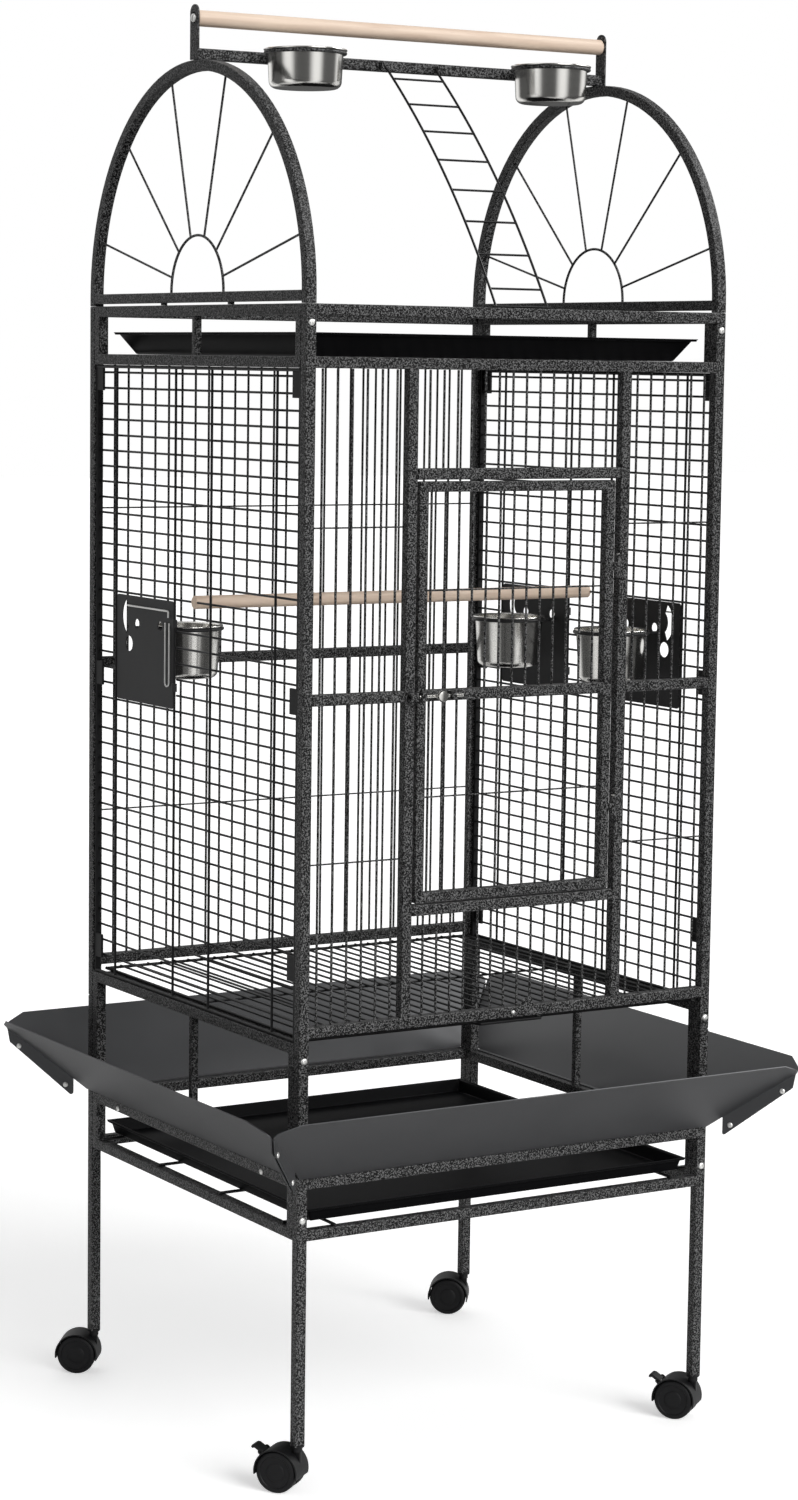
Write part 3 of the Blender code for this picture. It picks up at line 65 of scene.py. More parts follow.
# Heights of the undersides of rails and posts
LEG_FOOT = 0.054
STAND_RAIL = 0.299
SKIRT_RAIL = 0.360
POST_FOOT = 0.497
SIDE_SILL = 0.517
BOTTOM_RAIL = 0.537
DOOR_SILL = 0.669
MID_RAIL = 0.920
DOOR_LINTEL = 1.176
ROOF_RAIL = 1.302
TOP_RAIL = 1.361
TOP = TOP_RAIL + TUBE

# Wires of the panels, with the hook tabs' heights at the front (-1) and the rear (1)
BAR = 0.0030
BAR_PITCH = 0.0190
SIDE_BAR_PITCH = 0.0197
ROOF_PITCH = 0.0200
MESH_WIRE = 0.0028
MESH_PITCH = 0.01944
MESH_UPRIGHT = 0.0032
MESH_TOP_WIRE = 1.2925
MESH_X = POST_X
UPRIGHT_X = MESH_X + (MESH_WIRE + MESH_UPRIGHT) / 2 + GAP
UPRIGHTS = (0.0461, 0.2039)
CROSS_WIRE = 0.0020
CROSS_HEIGHTS = (0.737, 1.122)
BORDER_WIRE = 0.0040
STRIP_Y = INNER_Y - 0.006
TAB_WIDTH = 0.0215
TAB_HALF_HEIGHT = 0.015
TAB_HEIGHTS = {-1: (0.616, 0.924, 1.283), 1: (0.565, 0.915, 1.285)}

# Door, hinges and latch
DOOR_POST_INNER = 0.142
DOOR_LEFT = -0.1385
DOOR_RIGHT = 0.134
DOOR_MEMBER = 0.012
DOOR_CROSS_WIRES = (0.807, 1.048)
HINGE_HEIGHTS = (0.782, 1.072)
HINGE_BARREL = 0.006
KNUCKLE = 0.009
HINGE_X = DOOR_RIGHT + HINGE_BARREL / 2 + 0.0015
HINGE_Y = -HALF_Y - 0.0015
LATCH_BLOCK = 0.010
LATCH_BOLT = 0.005
LATCH_KNOB_X = -0.111
LATCH_Y = -HALF_Y - LATCH_BLOCK / 2 - GAP
LATCH_Z = MID_RAIL + TUBE / 2

# Feeders: name, side, way from hinge to latch, and the bowl's distance from the hinge; a hole in a feeder
# door has its place across, its drop from the top and its radius, and a bolt its two ends across
FEEDER_WIRES_CUT = (15, 20)
FEEDERS = (("left", -1, 1, 0.079), ("right_front", 1, -1, 0.086), ("right_rear", 1, 1, 0.056))
FEEDER_SHEET = 0.0012
FEEDER_CORNER = 0.004
FEEDER_HOLES = ((0.100, 0.034, 0.006), (0.038, 0.033, 0.006), (0.1215, 0.060, 0.0095))
FEEDER_CRESCENT = (0.113, 0.026)
FEEDER_BOLTS = {"left": (0.013, 0.123), "right_front": (0.032, 0.134), "right_rear": (0.013, 0.123)}

# Bowls and cups
BOWL_X = 0.232
BOWL_BODY = 0.088
BOWL_RIM = 0.094
BOWL_HEIGHT = 0.066
BOWL_TOP = 0.9835
BOWL_WALL = 0.0012
BOWL_TAPER = 0.0035
CUP_TAPER = 0.0018
FOOT_ROUND = 0.0085
RIM_ROLL = 0.0011
RING_WIRE = 0.004
CUP_BODY = 0.090
CUP_RIM = 0.099
CUP_HEIGHT = 0.046
CUP_X = 0.174
CUP_Y = -0.060

# Play top, with the ladder's rungs as shares of its length
ARCH_CENTRE = TOP + 0.011
ARCH_HUB = 0.066
ARCH_STUDS = (-0.085, 0.085)
HUB_WIRE = 0.0032
SPOKE_WIRE = 0.0028
CUP_BAR = ARCH_CENTRE + HALF_Y + GAP
CUP_TOP = CUP_BAR + TUBE + 0.0013
PERCH_Z = CUP_BAR + 0.048
TOP_PERCH = 0.0095
INNER_PERCH = 0.008
BRACKET_TALL = 0.064
BRACKET_THICK = 0.0025
LADDER_PIVOT = Vector((0.0, -TUBE / 2 - 0.005, CUP_BAR + TUBE / 2))
LADDER_FOOT = Vector((0.0, -HALF_Y + 0.0065, TOP + GAP + 0.0013))
LADDER_HALF = 0.0357
LADDER_BOW = 0.0156
LADDER_WIRE = 0.003
RUNG_WIRE = 0.0026
RUNG_SHARES = [0.066 + 0.1245 * rung for rung in range(8)]

# Floor grate, rack and trays: each tray's node, body, floor height, wall height, half rim and wall lean
GRATE_Z = SIDE_SILL + TUBE + GAP + BORDER_WIRE / 2
GRATE_X = INNER_X - 0.006
GRATE_Y = INNER_Y - 0.003
GRATE_PITCH = 0.0197
GRATE_WIRE = 0.0028
RACK_Z = STAND_RAIL + TUBE + GAP + BORDER_WIRE / 2
RACK_DEPTHS = (-0.235, -0.080, 0.080, 0.235)
RACK_SIDES = (-0.240, 0.240)
TRAYS = (("top_tray", "play_tray", ROOF_RAIL + TUBE + GAP, 0.026, (0.274, 0.242), 0.017),
         ("bottom_tray", "litter_tray", RACK_Z + BORDER_WIRE / 2 + GAP, 0.0155, (0.270, 0.262), 0.004))
TRAY_RIM = 0.004
TRAY_SHEET = 0.0010
HEM = 0.003
LOCK_Z = BOTTOM_RAIL + TUBE / 2
LOCK_Y = -HALF_Y - GAP - 0.0006

# Skirts: points of the sloping edge across and out, drops of the flange, and screws' outreach and drop
SKIRT_SHEET = 0.0012
SKIRT_FOOT = SKIRT_RAIL + TUBE + GAP + SKIRT_SHEET / 2
SKIRT_SLOPE = 0.95
SKIRT_EDGE = ((0.0, 0.0), (0.014, 0.014), (0.077, 0.077), (0.0772, 0.0788), (0.0755, 0.0822), (0.072, 0.084),
              (0.049, 0.0925))
SKIRT_FLANGE = (0.0245, 0.016)
SKIRT_SCREWS = ((0.021, 0.0165), (0.066, 0.0125))
SKIRT_SCREW_Y = 0.188
SKIRT_SCREW = 0.0036
POST_SCREW = 0.0040
POST_SCREW_HEIGHTS = (0.511, 0.324, 1.353)

# Casters, with their turns in degrees at the front (-1) and the rear (1)
WHEEL_RADIUS = 0.0248
CASTER_TRAIL = 0.0205
CASTER_TURNS = {-1: -53.0, 1: -36.5}
CORNERS = (("front_left", -1, -1), ("front_right", 1, -1), ("rear_left", -1, 1), ("rear_right", 1, 1))
BRAKE_REACH = 0.030
BRAKE_PIVOT_TURN = 138
BRAKE_LEVER_TURN = 147

# Camera: its place, its turns in degrees, and its focal length in pixels of the photograph's height
CAMERA_PLACE = (-2.1554, -3.5485, 1.3088)
CAMERA_YAW = 58.67
CAMERA_PITCH = 6.60
CAMERA_ROLL = 0.780
FOCAL_PIXELS = 3344
PHOTO_HEIGHT = 1500
SENSOR = 36.0

# Directions
ALONG_X = (1, 0, 0)
ALONG_Y = (0, 1, 0)
UPWARD = (0, 0, 1)


def length(name, description, default):
    """A length that the user may change."""
    return FloatProperty(name=name, description=description, default=default, unit="LENGTH")


def colour(name, description, *default):
    """A colour that the user may change."""
    return FloatVectorProperty(name=name, description=description, subtype="COLOR", size=4,
                               default=(*default, 1.0))


class CageSizes(bpy.types.PropertyGroup):
    """Roundings and roundness that a user may change without touching the CAD sizes."""

    tube_rounding: length("Tube rounding", "Corner radius of the square tube", 0.0013)
    wire_rounding: length("Wire rounding", "Rounding of cut wire ends", 0.0003)
    sheet_bend: length("Sheet bend", "Radius of the bends of the sheet parts", 0.0016)
    wire_sides: IntProperty(name="Wire sides", description="Faces around a bar or wire", default=10)
    bowl_steps: IntProperty(name="Bowl steps", description="Faces around a bowl or a cup", default=64)


class CageColours(bpy.types.PropertyGroup):
    """Colours of the finishes."""

    paint_dark: colour("Paint", "Dark ground of the hammered paint", 0.0038, 0.0038, 0.0039)
    paint_fleck: colour("Fleck", "Silver flecks of the hammered paint", 0.150, 0.150, 0.151)
    wire: colour("Wire", "Coat of the wires", 0.0055, 0.0055, 0.0060)
    tray: colour("Tray", "Coat of the trays", 0.0045, 0.0045, 0.0050)
    skirt: colour("Skirt", "Coat of the skirts", 0.050, 0.051, 0.054)
    wood_pale: colour("Pale wood", "Lighter wood of the perches", 0.86, 0.69, 0.55)
    wood_dark: colour("Wood grain", "Darker grain of the perches", 0.70, 0.53, 0.41)
    plastic: colour("Plastic", "Plastic of the casters", 0.0045, 0.0045, 0.0050)


def sizes():
    """The sizes that the user may change."""
    return bpy.context.scene.cage_sizes


def colours():
    """The colours that the user may change."""
    return bpy.context.scene.cage_colours


def only(shape):
    """Select one shape alone and make it active."""
    bpy.ops.object.select_all(action="DESELECT")
    shape.select_set(True)
    bpy.context.view_layer.objects.active = shape


def join(shapes):
    """Make several shapes one mesh, with its place in the mesh."""
    only(shapes[0])
    for shape in shapes:
        shape.select_set(True)
    if len(shapes) > 1:
        bpy.ops.object.join()
    bpy.ops.object.transform_apply(location=True, rotation=True, scale=True)
    return bpy.context.object


def with_modifier(shape, kind, **settings):
    """Add a modifier, set it and apply it."""
    only(shape)
    bpy.ops.object.modifier_add(type=kind)
    modifier = shape.modifiers[-1]
    for name, value in settings.items():
        setattr(modifier, name, value)
    bpy.ops.object.modifier_apply(modifier=modifier.name)
    return shape


def rounded(shape, width, segments=2, limit=50):
    """Round the sharp edges of a shape."""
    return with_modifier(shape, "BEVEL", width=width, segments=segments, limit_method="ANGLE",
                         angle_limit=math.radians(limit), miter_outer="MITER_ARC")


def row(shape, count, step):
    """Repeat a shape in a straight row."""
    join([shape])
    return with_modifier(shape, "ARRAY", count=count, use_relative_offset=False, use_constant_offset=True,
                         constant_offset_displace=step)


def cut(shape, tools):
    """Cut the tools' shapes out of a shape."""
    tool = join(tools)
    with_modifier(shape, "BOOLEAN", operation="DIFFERENCE", solver="EXACT", object=tool)
    bpy.data.objects.remove(tool, do_unlink=True)
    return shape


def added(primitive, **settings):
    """Add a primitive while nothing else is selected."""
    bpy.ops.object.select_all(action="DESELECT")
    primitive(**settings)
    return bpy.context.object


def edit_all():
    """Enter edit mode with everything selected."""
    bpy.ops.object.mode_set(mode="EDIT")
    bpy.ops.mesh.select_all(action="SELECT")


def extrude(step):
    """Extrude what is selected by one step."""
    bpy.ops.mesh.extrude_region_move(TRANSFORM_OT_translate={"value": step})


def closed(shape):
    """Merge doubled points, turn all faces outward and leave edit mode."""
    bpy.ops.mesh.select_all(action="SELECT")
    bpy.ops.mesh.remove_doubles(threshold=MERGE)
    bpy.ops.mesh.normals_make_consistent(inside=False)
    bpy.ops.object.mode_set(mode="OBJECT")
    return shape


def tube(x_span, y_span, z_span):
    """A straight tube or block between limits, before its edges are rounded."""
    low = Vector((min(x_span), min(y_span), min(z_span)))
    high = Vector((max(x_span), max(y_span), max(z_span)))
    shape = added(bpy.ops.mesh.primitive_cube_add, size=1.0, location=(low + high) / 2)
    shape.scale = high - low
    return shape


def rod(start, end, diameter, sides=None):
    """A straight wire from start to end, before its ends are rounded."""
    start = Vector(start)
    along = Vector(end) - start
    turn = along.to_track_quat("Z", "Y").to_euler()
    return added(bpy.ops.mesh.primitive_cylinder_add, vertices=sides or sizes().wire_sides,
                 radius=diameter / 2, depth=along.length, location=start + along / 2, rotation=turn)


def straight(x, y, z, diameter, sides=None):
    """A wire along one axis: there its limits are given, and one number on each other axis."""
    limits = [place if isinstance(place, tuple) else (place, place) for place in (x, y, z)]
    return rod(*zip(*limits), diameter, sides)


def barred(reach, pitch, y, z, diameter):
    """Straight wires spread evenly along X between -reach and reach."""
    count = round(2 * reach / pitch) - 1
    pitch = 2 * reach / (count + 1)
    first = -reach + pitch
    return row(straight(first, y, z, diameter), count, (pitch, 0, 0))


def ring(x, y, z, radius):
    """A level wire ring for a bowl or a cup."""
    return added(bpy.ops.mesh.primitive_torus_add, major_radius=radius, minor_radius=RING_WIRE / 2,
                 major_segments=56, minor_segments=10, location=(x, y, z))


def bent_wire(points, diameter):
    """A wire along a line of points."""
    path = bpy.data.curves.new("wire", "CURVE")
    path.dimensions = "3D"
    path.bevel_depth = diameter / 2
    path.bevel_resolution = 2
    path.use_fill_caps = True
    line = path.splines.new("POLY")
    line.points.add(len(points) - 1)
    for point, place in zip(line.points, points):
        point.co = (*place, 1.0)
    shape = bpy.data.objects.new("wire", path)
    bpy.context.collection.objects.link(shape)
    only(shape)
    bpy.ops.object.convert(target="MESH")
    edit_all()
    return closed(bpy.context.object)


def drawn_line(points):
    """Draw a line of edges through the points and stay in edit mode."""
    shape = added(bpy.ops.mesh.primitive_plane_add, size=0.001)
    edit_all()
    bpy.ops.mesh.select_mode(type="VERT")
    bpy.ops.mesh.merge(type="CENTER")
    bpy.ops.transform.translate(value=points[0])
    for before, after in zip(points, points[1:]):
        extrude(Vector(after) - Vector(before))
    bpy.ops.mesh.select_all(action="SELECT")
    return shape


def drawn_face(points):
    """Draw a closed outline, fill it and stay in edit mode with the face selected."""
    shape = drawn_line([*points, points[0]])
    bpy.ops.mesh.remove_doubles(threshold=MERGE)
    bpy.ops.mesh.edge_face_add()
    return shape


def spun(profile, centre, axis, steps, out=ALONG_X):
    """Turn a profile once round an axis, its points given as distances out from the axis and along it."""
    shape = drawn_line([[middle + sideways * far + ahead * along
                         for middle, sideways, ahead in zip(centre, out, axis)] for far, along in profile])
    bpy.ops.mesh.spin(steps=steps, angle=math.tau, center=centre, axis=axis)
    return closed(shape)


def plate(outline, thickness, place, rounding=0.0003, holes=()):
    """A flat plate from an outline, pierced, with softened edges."""
    def solid(shape_outline, thick):
        shape = drawn_face([place @ Vector((across, up, -thick / 2)) for across, up in shape_outline])
        extrude(place.to_3x3() @ Vector((0, 0, thick)))
        return closed(shape)

    shape = solid(outline, thickness)
    if holes:
        cut(shape, [solid(hole, thickness * 3) for hole in holes])
    return rounded(shape, rounding, 2, 40) if rounding else shape


def choose(shape, test):
    """Select the vertices whose place passes the test."""
    bpy.ops.mesh.select_all(action="DESELECT")
    mesh = bmesh.from_edit_mesh(shape.data)
    for point in mesh.verts:
        point.select = test(point.co)
    mesh.select_flush(True)
    bmesh.update_edit_mesh(shape.data)


def plane_at(centre, across, up):
    """A matrix that lays a drawing's x and y along two directions in space."""
    x = Vector(across).normalized()
    y = Vector(up).normalized()
    turn = Matrix((x, y, x.cross(y))).transposed().to_4x4()
    return Matrix.Translation(Vector(centre)) @ turn


def arc(centre, radius, start, end, steps):
    """Points along an arc, in degrees."""
    points = []
    for step in range(steps + 1):
        turn = math.radians(start + (end - start) * step / steps)
        points.append((centre[0] + radius * math.cos(turn), centre[1] + radius * math.sin(turn)))
    return points


def circle(centre, radius):
    """Points of a full circle, without its last one, which is the first again."""
    return arc(centre, radius, 0, 345, 23)


def tall(foot, height=TUBE):
    """Low and high limits of a rail."""
    return (foot, foot + height)


def span(side, outer, inner):
    """Two distances from the middle as limits on one side, -1 or 1."""
    return (side * outer, side * inner)


def welded(tubes, wires=(), tube_rounding=None):
    """Round tubes and wires, then make them one shape."""
    parts = [rounded(join(tubes), tube_rounding or sizes().tube_rounding, 3)]
    if wires:
        parts.append(rounded(join(wires), sizes().wire_rounding, 1))
    return join(parts)


def done(shape, name, body, finish, nodes=(), sharp=42):
    """Name a finished piece, give it its finish, shade it, hand it to its body and hide the CAD nodes it
    stands in for.
    """
    shape.name = name
    shape.data.name = name
    shape.data.materials.clear()
    shape.data.materials.append(bpy.data.materials[finish])
    only(shape)
    bpy.ops.object.shade_smooth_by_angle(angle=math.radians(sharp))
    with_modifier(shape, "WEIGHTED_NORMAL", keep_sharp=True)
    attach(shape, body)
    if nodes:
        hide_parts(*nodes)


def fill(tree, node, inputs):
    """Give each named input of a node a value, or link it to another node's output."""
    for label, value in inputs.items():
        if isinstance(value, bpy.types.NodeSocket):
            tree.links.new(value, node.inputs[label])
        else:
            node.inputs[label].default_value = value


def add_node(tree, kind, inputs=None, **settings):
    """Add a shader node, set its properties and fill its inputs."""
    node = tree.nodes.new("ShaderNode" + kind)
    for name, value in settings.items():
        setattr(node, name, value)
    fill(tree, node, inputs or {})
    return node


def calculated(tree, operation, *values):
    """The result of a Math node."""
    return add_node(tree, "Math", dict(enumerate(values)), operation=operation).outputs[0]


def limited(tree, value, source=(0.0, 1.0), target=(0.0, 1.0)):
    """A value moved from one pair of limits to another, and held there."""
    return add_node(tree, "MapRange", {"Value": value, "From Min": source[0], "From Max": source[1],
                                       "To Min": target[0], "To Max": target[1]}).outputs["Result"]


def blended(tree, share, first, second):
    """The colour between two others."""
    mix = add_node(tree, "Mix", {"Factor": share, "A": first, "B": second}, data_type="RGBA")
    return mix.outputs["Result"]


def new_group(name, inputs, outputs):
    """A shader node group with named sockets, its two end nodes and its object coordinates."""
    group = bpy.data.node_groups.new(name, "ShaderNodeTree")
    for label, kind, value in inputs:
        socket = group.interface.new_socket(name=label, in_out="INPUT", socket_type="NodeSocket" + kind)
        socket.default_value = value
    for label, kind in outputs:
        group.interface.new_socket(name=label, in_out="OUTPUT", socket_type="NodeSocket" + kind)
    place = add_node(group, "TexCoord").outputs["Object"]
    return group, group.nodes.new("NodeGroupInput").outputs, group.nodes.new("NodeGroupOutput"), place


def grain_group():
    """Fine grain of a sprayed or moulded surface: a mask and a height."""
    group, given, result, place = new_group(
        "surface_grain", (("Scale", "Float", 900.0), ("Stretch", "Vector", (1, 1, 1))),
        (("Mask", "Float"), ("Height", "Float")))
    stretched = add_node(group, "VectorMath", {0: place, 1: given["Stretch"]}, operation="MULTIPLY")
    noise = add_node(group, "TexNoise", {"Vector": stretched.outputs[0], "Scale": given["Scale"],
                                         "Detail": 3.0})
    cloud = add_node(group, "TexNoise", {"Vector": place, "Scale": 9.0, "Detail": 2.0})
    fill(group, result, {"Mask": cloud.outputs["Fac"], "Height": noise.outputs["Fac"]})


def hammered_group():
    """Hammered paint: rounded dimples with silver flecks between them."""
    group, given, result, place = new_group(
        "hammered_paint",
        (("Ground", "Color", (0.02, 0.02, 0.02, 1)), ("Fleck", "Color", (0.2, 0.2, 0.2, 1)),
         ("Scale", "Float", 380.0)),
        (("Color", "Color"), ("Mask", "Float"), ("Height", "Float")))
    warp = add_node(group, "TexNoise", {"Vector": place, "Scale": 260.0})
    warped = add_node(group, "VectorMath", {0: warp.outputs["Color"], 1: (0.004, 0.004, 0.004), 2: place},
                      operation="MULTIPLY_ADD").outputs[0]
    cells = add_node(group, "TexVoronoi", {"Vector": warped, "Scale": given["Scale"]}, feature="SMOOTH_F1")
    fine = add_node(group, "TexNoise", {"Vector": warped, "Scale": given["Scale"], "Detail": 2.0,
                                        "Roughness": 0.6})
    flecks = limited(group, fine.outputs["Fac"], (0.515, 0.555))
    fill(group, result, {"Color": blended(group, flecks, given["Ground"], given["Fleck"]), "Mask": flecks,
                         "Height": cells.outputs["Distance"]})


def wood_group():
    """Straight wood grain along X with darker rings and short pores."""
    group, given, result, place = new_group(
        "perch_grain", (("Pale", "Color", (0.6, 0.4, 0.3, 1)), ("Dark", "Color", (0.4, 0.25, 0.15, 1))),
        (("Color", "Color"), ("Height", "Float")))

    def streaks(scale, values):
        stretched = add_node(group, "Mapping", {"Vector": place, "Scale": scale})
        return add_node(group, "TexNoise", {"Vector": stretched.outputs[0], **values}).outputs["Fac"]

    rings = streaks((5.0, 90.0, 90.0), {"Scale": 1.6, "Detail": 4.0, "Distortion": 0.6})
    pores = calculated(group, "MULTIPLY", streaks((60.0, 1500.0, 1500.0), {"Scale": 1.0}), 0.35)
    tone = blended(group, limited(group, rings, (0.32, 0.70)), given["Pale"], given["Dark"])
    fill(group, result, {"Color": tone, "Height": calculated(group, "ADD", rings, pores)})


def new_material(name, base, roughness, metallic=0.0, specular=0.5):
    """A material's tree and shader, with its plain values set on the shader's own sockets."""
    material = bpy.data.materials.new(name)
    material.use_nodes = True
    tree = material.node_tree
    shader = tree.nodes["Principled BSDF"]
    fill(tree, shader, {"Base Color": base, "Roughness": roughness, "Metallic": metallic,
                        "Specular IOR Level": specular})
    return tree, shader


def add_group(tree, name, **values):
    """The outputs of a node group that is put in a tree with its own values."""
    return add_node(tree, "Group", values, node_tree=bpy.data.node_groups[name]).outputs


def surfaced(tree, shader, tone, mask, height, gloss, bump):
    """Feed the shader a tone, a mask spread over its roughness and a height as a bump."""
    relief = add_node(tree, "Bump", {"Height": height, "Strength": bump[0], "Distance": bump[1]})
    fill(tree, shader, {"Base Color": tone, "Roughness": limited(tree, mask, target=gloss),
                        "Normal": relief.outputs["Normal"]})


def sprayed(name, base, tones, gloss, scale, bump, metallic=0.0, specular=0.5, stretch=(1.0, 1.0, 1.0)):
    """A sprayed, polished or moulded finish: cloudy tone, fine grain and varied gloss."""
    tree, shader = new_material(name, base, gloss[0], metallic, specular)
    grain = add_group(tree, "surface_grain", Scale=scale, Stretch=stretch)
    low, high = ((*[min(1.0, part * share) for part in base[:3]], 1.0) for share in tones)
    tone = blended(tree, grain["Mask"], low, high)
    surfaced(tree, shader, tone, grain["Height"], grain["Height"], gloss, bump)


class CAGE_OT_finishes(bpy.types.Operator):
    """Make the finishes of all the pieces."""

    bl_idname = "cage.finishes"
    bl_label = "Finishes"

    def execute(self, context):
        grain_group()
        hammered_group()
        wood_group()
        pick = colours()
        tree, shader = new_material("frame_paint", pick.paint_dark, 0.42, specular=0.20)
        paint = add_group(tree, "hammered_paint", Ground=pick.paint_dark, Fleck=pick.paint_fleck,
                          Scale=560.0)
        surfaced(tree, shader, paint["Color"], paint["Mask"], paint["Height"], (0.36, 0.52), (0.55, 0.0006))
        tree, shader = new_material("perch_timber", pick.wood_pale, 0.58)
        wood = add_group(tree, "perch_grain", Pale=pick.wood_pale, Dark=pick.wood_dark)
        surfaced(tree, shader, wood["Color"], wood["Height"], wood["Height"], (0.50, 0.66), (0.25, 0.0004))
        sprayed("wire_coat", pick.wire, (0.8, 1.6), (0.32, 0.48), 700.0, (0.15, 0.0002), specular=0.25)
        sprayed("plate_coat", (0.022, 0.022, 0.023, 1.0), (0.8, 1.6), (0.32, 0.48), 900.0, (0.15, 0.0002),
                specular=0.25)
        sprayed("tray_coat", pick.tray, (0.8, 1.5), (0.28, 0.40), 1200.0, (0.12, 0.0002), specular=0.04)
        sprayed("skirt_coat", pick.skirt, (0.85, 1.25), (0.36, 0.50), 1500.0, (0.15, 0.0002), metallic=0.3)
        sprayed("polished_steel", (0.76, 0.75, 0.72, 1.0), (0.9, 1.1), (0.10, 0.24), 40.0, (0.08, 0.0001),
                metallic=1.0, stretch=(0.6, 0.6, 60.0))
        sprayed("zinc", (0.84, 0.84, 0.82, 1.0), (0.9, 1.1), (0.26, 0.40), 800.0, (0.1, 0.0001),
                metallic=0.6)
        sprayed("moulded_plastic", pick.plastic, (0.8, 1.5), (0.38, 0.55), 1600.0, (0.2, 0.0002),
                specular=0.30)
        sprayed("wheel_tread", pick.plastic, (1.0, 1.8), (0.45, 0.6), 1300.0, (0.25, 0.0002), specular=0.25)
        return {"FINISHED"}


def posts(side):
    """Both corner posts of the front or the rear."""
    depth = span(side, HALF_Y, INNER_Y)
    return [tube(span(x_side, HALF_X, INNER_X), depth, (POST_FOOT, TOP)) for x_side in (-1, 1)]


def long_rails(side, feet):
    """Rails between the two posts of the front or the rear."""
    reach = INNER_X + OVERLAP
    return [tube((-reach, reach), span(side, HALF_Y, INNER_Y), tall(foot)) for foot in feet]


def knuckle(low, x_end):
    """One barrel of a door hinge with its leaf."""
    high = low + KNUCKLE
    return [straight(HINGE_X, HINGE_Y, (low, high), HINGE_BARREL, 24),
            tube((HINGE_X, x_end), (HINGE_Y - 0.0014, -HALF_Y + OVERLAP), (low, high))]


def guide_block(x_span):
    """A guide block of the slide latch, bored for the bolt."""
    half = LATCH_BLOCK / 2
    block = join([tube(x_span, (LATCH_Y - half, -HALF_Y + OVERLAP), (LATCH_Z - half, LATCH_Z + half))])
    bore = (min(x_span) - 0.002, max(x_span) + 0.002)
    return cut(block, [straight(bore, LATCH_Y, LATCH_Z, LATCH_BOLT + 2 * GAP, 24)])


class CAGE_OT_front_frame(bpy.types.Operator):
    """Model the front's posts, rails, door posts, hinge barrels and latch keeper."""

    bl_idname = "cage.front_frame"
    bl_label = "Front frame"

    def execute(self, context):
        tubes = posts(-1) + long_rails(-1, (BOTTOM_RAIL, ROOF_RAIL, TOP_RAIL))
        for side in (-1, 1):
            tubes.append(tube(span(side, DOOR_POST_INNER + TUBE, DOOR_POST_INNER), span(-1, HALF_Y, INNER_Y),
                              (BOTTOM_RAIL + TUBE - OVERLAP, ROOF_RAIL + OVERLAP)))
        small = [guide_block((-DOOR_POST_INNER - 0.0110, -DOOR_POST_INNER - 0.0010))]
        for height in HINGE_HEIGHTS:
            for low in (height - 1.5 * KNUCKLE - GAP, height + 0.5 * KNUCKLE + GAP):
                small += knuckle(low, DOOR_POST_INNER + OVERLAP)
        shape = join([welded(tubes), rounded(join(small), 0.0004, 2)])
        done(shape, "front_frame_tubes", "cage", "frame_paint", ["front_frame"])
        return {"FINISHED"}


class CAGE_OT_front_grilles(bpy.types.Operator):
    """Model the four barred fields round the door."""

    bl_idname = "cage.front_grilles"
    bl_label = "Front grilles"

    def execute(self, context):
        depth = span(-1, HALF_Y, INNER_Y)
        inner = DOOR_POST_INNER + TUBE + GAP
        outer = INNER_X - GAP
        low = BOTTOM_RAIL + TUBE + GAP
        high = ROOF_RAIL - GAP
        wire_y = -POST_Y + 0.0012
        for name, side in (("front_left_grille", -1), ("front_right_grille", 1)):
            tubes = [tube(span(side, outer, inner), depth, tall(MID_RAIL))]
            first = side * (inner + outer) / 2 - 2.5 * SIDE_BAR_PITCH
            bars = row(straight(first, -POST_Y, (low, high), BAR), 6, (SIDE_BAR_PITCH, 0, 0))
            wires = [straight(span(side, inner, outer), wire_y, height, CROSS_WIRE)
                     for height in CROSS_HEIGHTS]
            done(welded(tubes, [bars, *wires]), name + "_bars", "cage", "frame_paint", [name])
        reach = DOOR_POST_INNER - GAP
        for name, foot, start, end in (("front_lintel_grille", DOOR_LINTEL, DOOR_LINTEL + 0.012, high),
                                       ("front_sill_grille", DOOR_SILL, low, DOOR_SILL + OVERLAP)):
            bars = barred(DOOR_POST_INNER, BAR_PITCH, -POST_Y, (start, end), BAR)
            rail = tube((-reach, reach), depth, tall(foot))
            done(welded([rail], [bars]), name + "_bars", "cage", "frame_paint", [name])
        return {"FINISHED"}


